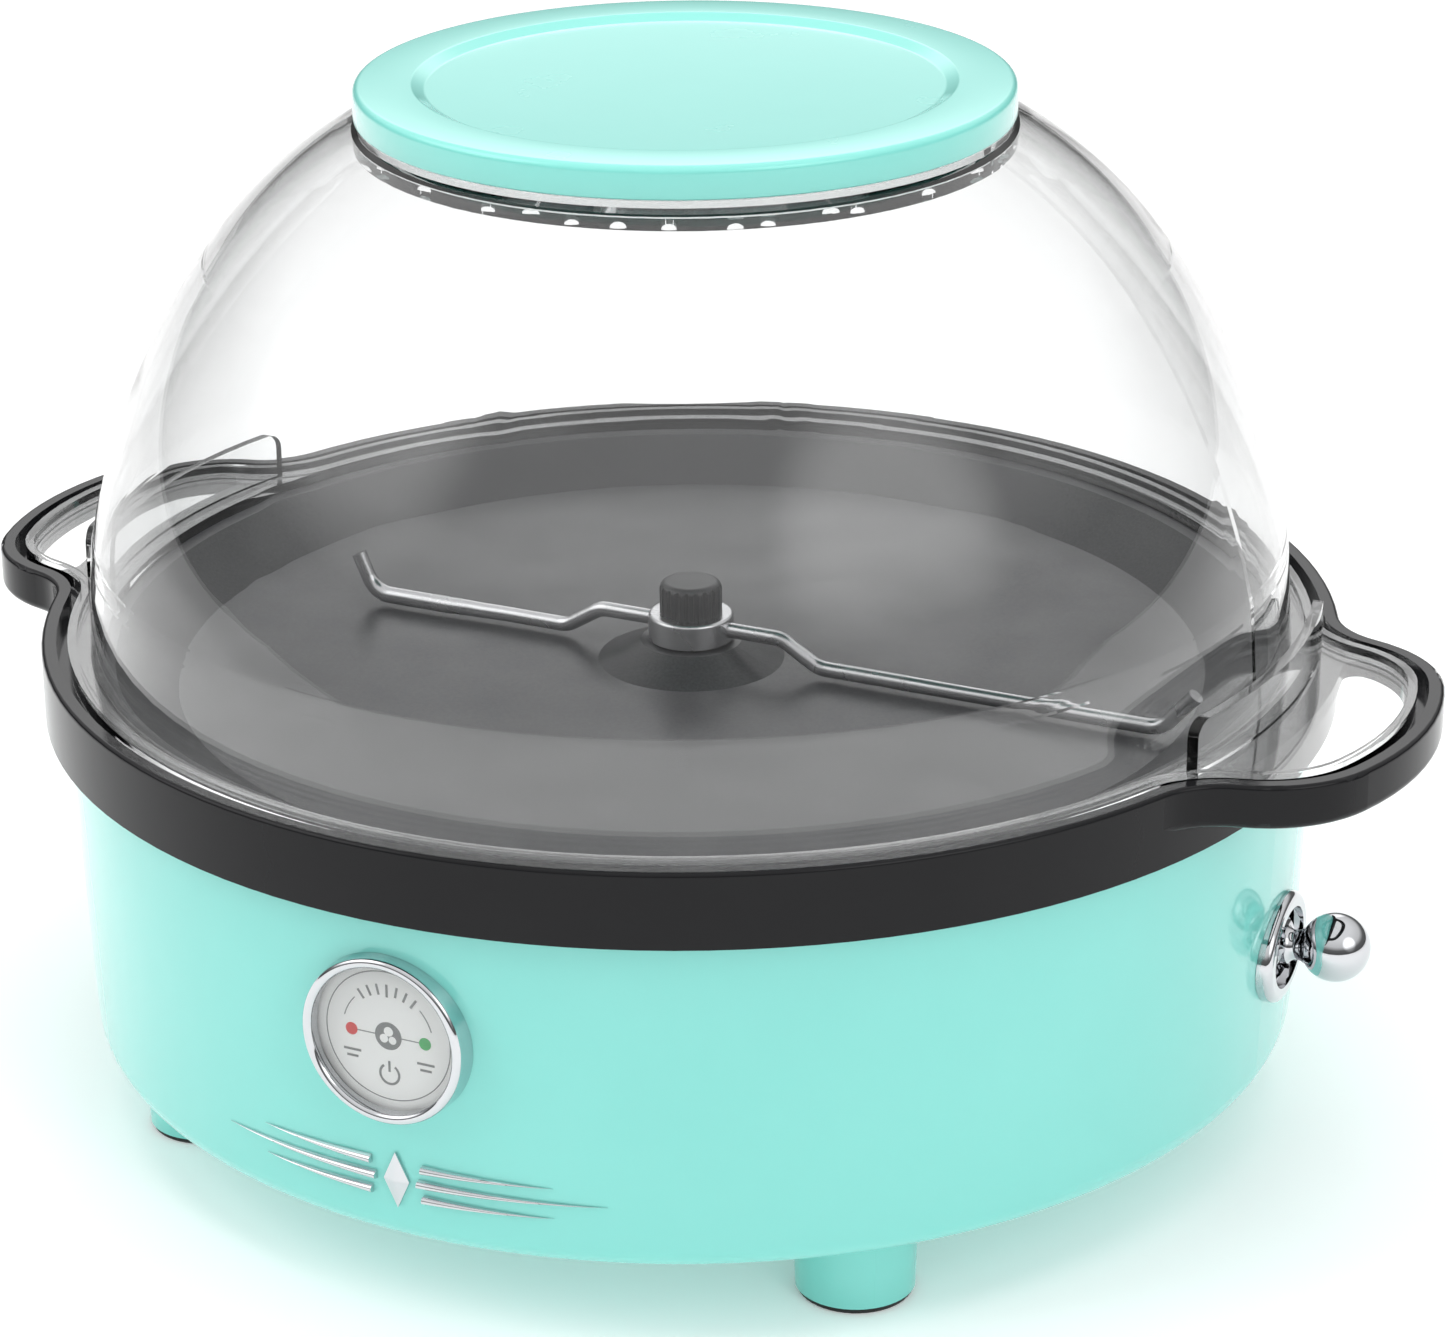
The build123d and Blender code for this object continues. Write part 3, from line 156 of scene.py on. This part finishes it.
def clear_plastic(name, tint, shade):
    """Polished clear plastic that lets lamps through to what is inside."""
    material, tree, shader = new_material(name)
    shader.inputs["Transmission Weight"].default_value = 1.0
    shader.inputs["IOR"].default_value = CLEAR_IOR
    shader.inputs["Base Color"].default_value = (*tint, 1.0)
    uneven = remap(tree, noise(tree, 25.0, 3.0), 0.0, CLEAR_HAZE, CLEAR_HAZE_SPREAD)
    tree.links.new(uneven, shader.inputs["Roughness"])
    wave = bump(tree, noise(tree, 9.0, 1.0), 0.1, CLEAR_WAVE_DEPTH)
    tree.links.new(wave, shader.inputs["Normal"])
    path = node(tree, "ShaderNodeLightPath")
    through = node(tree, "ShaderNodeBsdfTransparent")
    through.inputs["Color"].default_value = (*shade, 1.0)
    mix = node(tree, "ShaderNodeMixShader")
    tree.links.new(path.outputs["Is Shadow Ray"], mix.inputs["Fac"])
    tree.links.new(shader.outputs["BSDF"], mix.inputs[1])
    tree.links.new(through.outputs["BSDF"], mix.inputs[2])
    tree.links.new(mix.outputs["Shader"], tree.nodes["Material Output"].inputs["Surface"])
    return material


def make_finishes():
    made = {
        "aqua_shell": finish_of(
            "aqua_shell", ((0.225, 0.715, 0.645), (0.245, 0.745, 0.675)), (0.10, 0.17),
            Coat_Weight=0.5, Coat_Roughness=0.03),
        # Paler than aqua_shell: painted light. The same aqua plastic is lightened to stand for
        # the extra light that the cap's top and skirt catch from above.
        "aqua_cap": finish_of(
            "aqua_cap", ((0.235, 0.775, 0.690), (0.255, 0.800, 0.715)), (0.25, 0.28),
            Coat_Weight=1.0, Coat_Roughness=0.12),
        "black_ring": finish_of(
            "black_ring", ((0.007, 0.007, 0.008), (0.011, 0.011, 0.012)), (0.08, 0.15),
            Specular_IOR_Level=0.2),
        "rubber": finish_of(
            "rubber", ((0.016, 0.016, 0.016), (0.028, 0.028, 0.027)), (0.6, 0.8),
            grain=1500.0, grain_strength=0.5),
        "clear": clear_plastic("clear", (0.985, 0.99, 0.99), (0.93, 0.94, 0.94)),
        "chrome": finish_of(
            "chrome", ((0.61, 0.62, 0.64), (0.66, 0.67, 0.69)), (0.03, 0.07),
            grain_strength=0.04, Metallic=1.0),
        "steel": finish_of(
            "steel", ((0.52, 0.52, 0.53), (0.64, 0.64, 0.65)), (0.18, 0.34),
            grain=1200.0, Metallic=1.0),
        "nonstick": finish_of(
            "nonstick", ((0.030, 0.030, 0.032), (0.060, 0.060, 0.062)), (0.30, 0.42),
            cloud=1400.0, grain=1600.0, grain_strength=0.3),
        "element_metal": finish_of(
            "element_metal", ((0.36, 0.34, 0.32), (0.50, 0.49, 0.48)), (0.35, 0.5),
            Metallic=1.0),
        "shield_metal": finish_of(
            "shield_metal", ((0.62, 0.63, 0.64), (0.74, 0.75, 0.76)), (0.22, 0.38),
            Metallic=1.0),
        "brass": finish_of(
            "brass", ((0.62, 0.45, 0.18), (0.74, 0.56, 0.26)), (0.22, 0.35), Metallic=1.0),
        "gear_plastic": finish_of(
            "gear_plastic", ((0.76, 0.74, 0.68), (0.82, 0.80, 0.75)), (0.38, 0.5),
            Subsurface_Weight=0.1),
        "dark_plastic": finish_of(
            "dark_plastic", ((0.018, 0.018, 0.019), (0.030, 0.030, 0.031)), (0.32, 0.45)),
        "white_plastic": finish_of(
            "white_plastic", ((0.76, 0.76, 0.74), (0.82, 0.82, 0.80)), (0.35, 0.45)),
        "dial_print": finish_of(
            "dial_print", ((0.88, 0.89, 0.88), (0.91, 0.92, 0.91)), (0.35, 0.45),
            cloud=60.0),
        "bakelite": finish_of(
            "bakelite", ((0.035, 0.020, 0.014), (0.055, 0.032, 0.022)), (0.3, 0.45)),
    }
    inks = {
        "ink_grey": (0.19, 0.20, 0.20),
        "ink_red": (0.72, 0.022, 0.018),
        "ink_green": (0.004, 0.42, 0.080),
    }
    for name, color in inks.items():
        darker = tuple(INK_SHADE * c for c in color)
        made[name] = finish_of(name, (darker, color), (0.4, 0.5), cloud=900.0)
    return made


def paint_cad_nodes(finishes):
    """Every CAD node keeps its mesh and takes the finish of its slot."""
    for cad in NODES.values():
        for spot in cad.material_slots:
            slot_name = spot.material.name.split(".")[0]
            spot.material = finishes[slot_name]


# ---- mesh helpers --------------------------------------------------------------------
SHARP_ANGLE = 35.0             # degrees, above which an edge is not smoothed
CORNER_STEPS = 6
LATHE_SEGMENTS = 192
ON_AXIS = 1e-6


def mesh_object(name, verts, faces, finish, sharp=SHARP_ANGLE):
    mesh = bpy.data.meshes.new(name)
    mesh.from_pydata(verts, [], faces)
    bm = bmesh.new()
    bm.from_mesh(mesh)
    bmesh.ops.recalc_face_normals(bm, faces=bm.faces)
    bm.to_mesh(mesh)
    bm.free()
    mesh.shade_smooth()
    mesh.set_sharp_from_angle(angle=math.radians(sharp))
    mesh.materials.append(finish)
    made = bpy.data.objects.new(name, mesh)
    bpy.context.scene.collection.objects.link(made)
    return made


def rounded(points):
    """Outline whose corners (across, along, radius) are arcs of that radius."""
    path = []
    count = len(points)
    for i, (x, y, radius) in enumerate(points):
        here = Vector((x, y))
        if not radius:
            path.append((x, y))
            continue
        before = (Vector(points[i - 1][:2]) - here).normalized()
        after = (Vector(points[(i + 1) % count][:2]) - here).normalized()
        half = before.angle(after) / 2
        run = radius / math.tan(half)
        centre = here + (before + after).normalized() * radius / math.sin(half)
        start = here + before * run - centre
        turn = start.angle_signed(here + after * run - centre)
        for step in range(CORNER_STEPS + 1):
            angle = -turn * step / CORNER_STEPS
            spun = Matrix.Rotation(angle, 2) @ start
            path.append(tuple(centre + spun))
    return path


def lathe(name, path, finish, place=None, segments=LATHE_SEGMENTS):
    """Closed solid of revolution about local Z from an outline in (radius, height), in mm."""
    verts, faces, rings = [], [], []
    for radius, height in path:
        if radius < ON_AXIS:
            rings.append([len(verts)])
            verts.append((0.0, 0.0, height * MM))
            continue
        ring = []
        for step in range(segments):
            angle = 2 * math.pi * step / segments
            ring.append(len(verts))
            verts.append((
                radius * MM * math.cos(angle), radius * MM * math.sin(angle), height * MM))
        rings.append(ring)
    for ring, other in zip(rings, rings[1:] + rings[:1]):
        if len(ring) == 1 and len(other) == 1:
            continue
        for step in range(segments):
            after = (step + 1) % segments
            corners = [ring[step % len(ring)], ring[after % len(ring)]]
            corners += [other[after % len(other)], other[step % len(other)]]
            faces.append(list(dict.fromkeys(corners)))
    if place is not None:
        verts = [tuple(place @ Vector(v)) for v in verts]
    return mesh_object(name, verts, faces, finish)


# ---- cap, in mm ----------------------------------------------------------------------
CAP_WALL = 2.0
CAP_EDGE_R = 1.8
CAP_RIM_W = 14.4
CAP_DISH_DEPTH = 1.6
CAP_DISH_SLOPE = 3.2
CAP_DISH_FOOT_R = 1.6
CAP_DISH_TOP_R = 1.2
CAP_SKIRT_R = 0.5
CAP_INSIDE_R = 1.0


def make_cap(finishes):
    low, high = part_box("top_cap")
    radius, foot, top = high.x / MM, low.z / MM, high.z / MM
    dish = radius - CAP_RIM_W
    floor = top - CAP_DISH_DEPTH
    ceiling = floor - CAP_WALL
    path = rounded([
        (0.0, floor, 0),
        (dish - CAP_DISH_SLOPE, floor, CAP_DISH_FOOT_R),
        (dish, top, CAP_DISH_TOP_R),
        (radius, top, CAP_EDGE_R),
        (radius, foot, CAP_SKIRT_R),
        (radius - CAP_WALL, foot, CAP_SKIRT_R),
        (radius - CAP_WALL, ceiling, CAP_INSIDE_R),
        (0.0, ceiling, 0),
    ])
    cap = lathe("cap_shell", path, finishes["aqua_cap"])
    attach(cap, "cap")
    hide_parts("top_cap")


# ---- dial, in mm, with across and up from its centre -----------------------------------
LENS_AIR = 0.35                # between the lens and the face
LENS_BACK_R = 0.1
LENS_FRONT_R = 0.2
INK_T = 0.05
RULE_HALF_W = 0.13
SIGN_HALF_W = 0.3
RIBBON_SHARP = 20.0            # degrees
RIM_R = 16.3                   # thin circle near the rim
CENTRE_R = 3.5                 # grey disc
RULE_OVERLAP = 0.2             # of the level rules on that disc
LAMP_X = 9.7
LAMP_R = 1.55
SCALE_R = 11.9                 # row of ticks round the top
TICK_ANGLES = (-36, -24, -12, 0, 12, 24, 36)
TICK_IN = 1.5
TOP_TICK_IN = 2.0
TICK_OUT = 1.2
SCALE_ARC = (46, 74)           # degrees from straight up, each side of the ticks
BARS = ((-5.3, 2.3), (-6.9, 1.5))   # (up, half length), under each lamp
POWER_Z = -9.8
POWER_R = 2.5
POWER_GAP = 35                 # degrees, each side of straight up
POWER_STEM = (0.6, 3.4)
PUFFS = ((-1.15, -0.75, 1.1), (1.1, -0.95, 1.0), (0.1, 1.15, 1.2))  # (across, up, radius)


def dial_place():
    """From the dial's own plane, its back to front along Z, to the housing's front."""
    low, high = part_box("dial_lens")
    turn = Matrix.Rotation(math.radians(90.0), 4, "X")
    return Matrix.Translation((0.0, 0.0, (low.z + high.z) / 2)) @ turn


def ribbon(name, paths, half_w, low, high, finish, place):
    """Flat strips of one width along paths of (across, up), in mm, between two heights."""
    verts, faces = [], []
    for path in paths:
        closed = path[0] == path[-1]
        points = [Vector(p) for p in (path[:-1] if closed else path)]
        count = len(points)
        first = len(verts)
        for i, point in enumerate(points):
            before = points[i - 1] if closed or i else point
            after = points[(i + 1) % count] if closed or i + 1 < count else point
            along = (after - before).normalized()
            side = Vector((-along.y, along.x)) * half_w
            for edge in (point + side, point - side):
                for height in (low, high):
                    spot = Vector((edge.x * MM, edge.y * MM, height * MM))
                    verts.append(tuple(place @ spot))
        for i in range(count if closed else count - 1):
            a = first + 4 * i
            b = first + 4 * ((i + 1) % count)
            for p, q in ((0, 1), (1, 3), (3, 2), (2, 0)):
                faces.append([a + p, a + q, b + q, b + p])
        if not closed:
            for a in (first, first + 4 * (count - 1)):
                faces.append([a, a + 1, a + 3, a + 2])
    return mesh_object(name, verts, faces, finish, RIBBON_SHARP)


def arc(radius, start, end, steps, centre=(0.0, 0.0)):
    """Path round a circle, by angle in degrees from straight up."""
    path = []
    for i in range(steps + 1):
        angle = math.radians(start + (end - start) * i / steps)
        path.append((
            centre[0] + radius * math.sin(angle), centre[1] + radius * math.cos(angle)))
    if abs(end - start) >= 360.0:
        path[-1] = path[0]
    return path


def disc(name, radius, low, high, finish, place, segments):
    path = [(0, low), (radius, low), (radius, high), (0, high)]
    return lathe(name, path, finish, place, segments)


def make_dial(finishes):
    place = dial_place()
    low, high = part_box("dial_lens")
    front, back, radius = -low.y / MM, -high.y / MM, high.x / MM
    path = rounded([
        (0.0, back + LENS_AIR, 0),
        (radius, back + LENS_AIR, LENS_BACK_R),
        (radius, front, LENS_FRONT_R),
        (0.0, front, 0),
    ])
    lens = lathe("dial_window", path, finishes["clear"], place)
    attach(lens, "base")
    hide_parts("dial_lens")

    base, top = back - INK_T, back + INK_T
    grey = finishes["ink_grey"]
    scale_start, scale_end = SCALE_ARC
    rules = [
        arc(RIM_R, 0, 360, 128),
        arc(SCALE_R, scale_start, scale_end, 24),
        arc(SCALE_R, -scale_end, -scale_start, 24),
        [(-LAMP_X, 0.0), (-CENTRE_R + RULE_OVERLAP, 0.0)],
        [(CENTRE_R - RULE_OVERLAP, 0.0), (LAMP_X, 0.0)],
    ]
    signs = []
    for angle in TICK_ANGLES:
        inner = SCALE_R - (TICK_IN if angle else TOP_TICK_IN)
        signs.append([arc(r, angle, angle, 1)[0] for r in (inner, SCALE_R + TICK_OUT)])
    for side in (-1, 1):
        for row, half in BARS:
            signs.append([(side * LAMP_X - half, row), (side * LAMP_X + half, row)])
    signs.append(arc(POWER_R, POWER_GAP, 360 - POWER_GAP, 40, (0.0, POWER_Z)))
    signs.append([(0.0, POWER_Z + up) for up in POWER_STEM])
    prints = [
        ribbon("dial_rule", rules, RULE_HALF_W, base, top, grey, place),
        ribbon("dial_signs", signs, SIGN_HALF_W, base, top, grey, place),
        disc("dial_centre", CENTRE_R, base, top, grey, place, 64),
    ]
    for name, x, ink in (("dial_red", -LAMP_X, "ink_red"), ("dial_green", LAMP_X, "ink_green")):
        spot = place @ Matrix.Translation((x * MM, 0.0, 0.0))
        prints.append(disc(name, LAMP_R, base, top + INK_T, finishes[ink], spot, 48))
    for i, (x, up, size) in enumerate(PUFFS):
        spot = place @ Matrix.Translation((x * MM, up * MM, 0.0))
        prints.append(disc(
            f"dial_puff_{i}", size, base, top + INK_T, finishes["dial_print"], spot, 32))
    for piece in prints:
        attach(piece, "base")


# ---- ornament, in mm -----------------------------------------------------------------
SIDE_FOOT = (156.6, 27.1)      # housing's side: radius and height where it starts to rise
SIDE_LEAN = 3.4 / 91.4         # out over up
ORNAMENT_SKIN = 0.06           # between the housing and the ornament's back
ORNAMENT_RIDGE = 1.8
ORNAMENT_HALF_L = 51.0
BAR_START = 5.6
BAR_START_STEP = 1.2           # further out for the rows above and below
BAR_SHORTER = 0.24             # part of the half length those rows lose
BAR_HALF_H = 1.1
BAR_PITCH = 4.0
BAR_STEPS = 28
BAR_TIP = 0.02                 # part of the full section left at the tip
BAR_FALL = 0.6                 # power by which a bar gets lower along its length
BAR_PROFILE = (                # (across, lift)
    (-1.0, 0.0), (-0.86, 0.5), (-0.5, 0.88), (0.0, 1.0), (0.5, 0.88), (0.86, 0.5), (1.0, 0.0))
BAR_SHARP = 60.0
STAR = (3.4, 7.4)
STAR_RIM = 0.8
STAR_SHARP = 10.0


def hugging(x, z, out):
    """Point that stands out from the housing's side."""
    radius = SIDE_FOOT[0] + (z - SIDE_FOOT[1]) * SIDE_LEAN + out
    return (x * MM, -math.sqrt(radius ** 2 - x ** 2) * MM, z * MM)


def winged_bar(start, length, z, side):
    """Tapering bar with a rounded back, along the housing's side."""
    verts, faces = [], []
    for i in range(BAR_STEPS + 1):
        along = i / BAR_STEPS
        left = max(1.0 - along, BAR_TIP)
        half = BAR_HALF_H * left
        tall = (ORNAMENT_RIDGE - ORNAMENT_SKIN) * left ** BAR_FALL
        for across, lift in BAR_PROFILE:
            x = side * (start + length * along)
            verts.append(hugging(x, z + across * half, ORNAMENT_SKIN + lift * tall))
    width = len(BAR_PROFILE)
    for i in range(BAR_STEPS):
        for j in range(width):
            k = (j + 1) % width
            a, b = i * width, (i + 1) * width
            faces.append([a + j, a + k, b + k, b + j])
    faces.append(list(range(width)))
    faces.append([BAR_STEPS * width + j for j in range(width)])
    return verts, faces


def make_ornament(finishes):
    low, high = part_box("ornament")
    middle = (low.z + high.z) / 2 / MM
    verts, faces = [], []
    for row in (-1, 0, 1):
        start = BAR_START + BAR_START_STEP * abs(row)
        length = ORNAMENT_HALF_L * (1.0 - BAR_SHORTER * abs(row)) - start
        for side in (-1, 1):
            bar_verts, bar_faces = winged_bar(start, length, middle + row * BAR_PITCH, side)
            faces += [[len(verts) + i for i in face] for face in bar_faces]
            verts += bar_verts
    bars = mesh_object("ornament_bars", verts, faces, finishes["chrome"], BAR_SHARP)
    across, up = STAR
    rim = ((across, 0.0), (0.0, up), (-across, 0.0), (0.0, -up))
    verts = [hugging(x, middle + z, ORNAMENT_SKIN) for x, z in rim]
    verts += [hugging(x, middle + z, STAR_RIM) for x, z in rim]
    verts += [hugging(0.0, middle, ORNAMENT_RIDGE)]
    faces = [[0, 1, 2, 3]]
    for i in range(4):
        k = (i + 1) % 4
        faces.append([i, k, k + 4, i + 4])
        faces.append([i + 4, k + 4, 8])
    star = mesh_object("ornament_star", verts, faces, finishes["chrome"], STAR_SHARP)
    for piece in (bars, star):
        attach(piece, "base")
        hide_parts("ornament")


# ---- camera, light and floor ---------------------------------------------------------
def add_camera():
    rise, yaw, pitch, roll = (
        math.radians(a) for a in (CAMERA_RISE, CAMERA_YAW, CAMERA_PITCH, CAMERA_ROLL))
    spin = Matrix.Rotation(math.radians(CAMERA_TURN), 3, "Z")
    place = Vector((0.0, -CAMERA_REACH * math.cos(rise), CAMERA_REACH * math.sin(rise)))
    ahead = Vector((
        math.sin(yaw) * math.cos(pitch), math.cos(yaw) * math.cos(pitch), -math.sin(pitch)))
    across = ahead.cross(Vector((0.0, 0.0, 1.0))).normalized()
    upward = across.cross(ahead)
    right = across * math.cos(roll) + upward * math.sin(roll)
    up = upward * math.cos(roll) - across * math.sin(roll)
    axes = Matrix((spin @ right, spin @ up, -(spin @ ahead))).transposed().to_4x4()
    data = bpy.data.cameras.new("camera")
    data.sensor_width = SENSOR_W
    data.lens = FOCAL_PX * SENSOR_W / IMAGE_W
    data.clip_start, data.clip_end = CAMERA_CLIP
    made = bpy.data.objects.new("camera", data)
    centre = spin @ place + Vector((0.0, 0.0, CAMERA_AIM_Z))
    made.matrix_world = Matrix.Translation(centre) @ axes
    bpy.context.scene.collection.objects.link(made)
    bpy.context.scene.camera = made


def softbox(name, place, size, power):
    """Soft lamp that lights the piece but is not mirrored or seen through it."""
    data = bpy.data.lights.new(name, "AREA")
    data.shape = "RECTANGLE"
    data.size, data.size_y = size
    data.energy = power
    made = bpy.data.objects.new(name, data)
    made.location = place
    towards = SOFTBOX_AIM - Vector(place)
    made.rotation_euler = towards.to_track_quat("-Z", "Y").to_euler()
    made.visible_glossy = False
    made.visible_transmission = False
    bpy.context.scene.collection.objects.link(made)


def lobe(tree, direction, aim, start, end, power):
    """Soft bright patch of sky round a direction."""
    dot = node(tree, "ShaderNodeVectorMath", operation="DOT_PRODUCT")
    dot.inputs[1].default_value = Vector(aim).normalized()
    tree.links.new(direction, dot.inputs[0])
    made = node(tree, "ShaderNodeMapRange", interpolation_type="SMOOTHSTEP")
    made.inputs["From Min"].default_value = start
    made.inputs["From Max"].default_value = end
    made.inputs["To Min"].default_value = 0.0
    made.inputs["To Max"].default_value = power
    tree.links.new(dot.outputs["Value"], made.inputs["Value"])
    return made.outputs["Result"]


def add_world():
    """White to the eye, even grey to diffuse rays, and dark low down to glossy rays."""
    world = bpy.data.worlds.new("studio")
    bpy.context.scene.world = world
    world.use_nodes = True
    tree = world.node_tree
    plain = tree.nodes["Background"]
    plain.inputs["Color"].default_value = WHITE
    plain.inputs["Strength"].default_value = 1.0
    place = node(tree, "ShaderNodeTexCoord")
    split = node(tree, "ShaderNodeSeparateXYZ")
    tree.links.new(place.outputs["Generated"], split.inputs["Vector"])
    ramp = node(tree, "ShaderNodeValToRGB")
    tree.links.new(split.outputs["Z"], ramp.inputs["Fac"])
    while len(ramp.color_ramp.elements) < len(SKY_GREYS):
        ramp.color_ramp.elements.new(0.5)
    for element, (spot, grey) in zip(ramp.color_ramp.elements, SKY_GREYS):
        element.position = spot
        element.color = (grey, grey, grey, 1.0)
    studio = node(tree, "ShaderNodeBackground")
    tree.links.new(ramp.outputs["Color"], studio.inputs["Color"])
    strength = None
    for values in SKY_LOBES:
        total = node(tree, "ShaderNodeMath", operation="ADD")
        tree.links.new(lobe(tree, place.outputs["Generated"], *values), total.inputs[0])
        if strength is None:
            total.inputs[1].default_value = SKY_BASE
        else:
            tree.links.new(strength, total.inputs[1])
        strength = total.outputs["Value"]
    tree.links.new(strength, studio.inputs["Strength"])
    ambient = node(tree, "ShaderNodeBackground")
    ambient.inputs["Strength"].default_value = AMBIENT
    path = node(tree, "ShaderNodeLightPath")
    soft = node(tree, "ShaderNodeMixShader")
    tree.links.new(path.outputs["Is Diffuse Ray"], soft.inputs["Fac"])
    tree.links.new(plain.outputs["Background"], soft.inputs[1])
    tree.links.new(ambient.outputs["Background"], soft.inputs[2])
    mix = node(tree, "ShaderNodeMixShader")
    tree.links.new(path.outputs["Is Glossy Ray"], mix.inputs["Fac"])
    tree.links.new(soft.outputs["Shader"], mix.inputs[1])
    tree.links.new(studio.outputs["Background"], mix.inputs[2])
    tree.links.new(mix.outputs["Shader"], tree.nodes["World Output"].inputs["Surface"])
    bpy.context.scene.view_settings.view_transform = "Standard"


def add_floor():
    colors = ((FLOOR_GREY,) * 3, (FLOOR_GREY + FLOOR_GREY_RANGE,) * 3)
    finish = finish_of(
        "studio_floor", colors, (0.8, 0.9), cloud=2.0, Specular_IOR_Level=0.1,
        Emission_Strength=FLOOR_GLOW, Emission_Color=WHITE)
    corners = ((-1, -1), (1, -1), (1, 1), (-1, 1))
    verts = [(x * FLOOR_HALF, y * FLOOR_HALF, 0.0) for x, y in corners]
    floor = mesh_object("studio_floor", verts, [(0, 1, 2, 3)], finish)


add_camera()
add_world()
add_floor()
for lamp in SOFTBOXES:
    softbox(*lamp)
FINISHES = make_finishes()
paint_cad_nodes(FINISHES)
make_cap(FINISHES)
make_dial(FINISHES)
make_ornament(FINISHES)
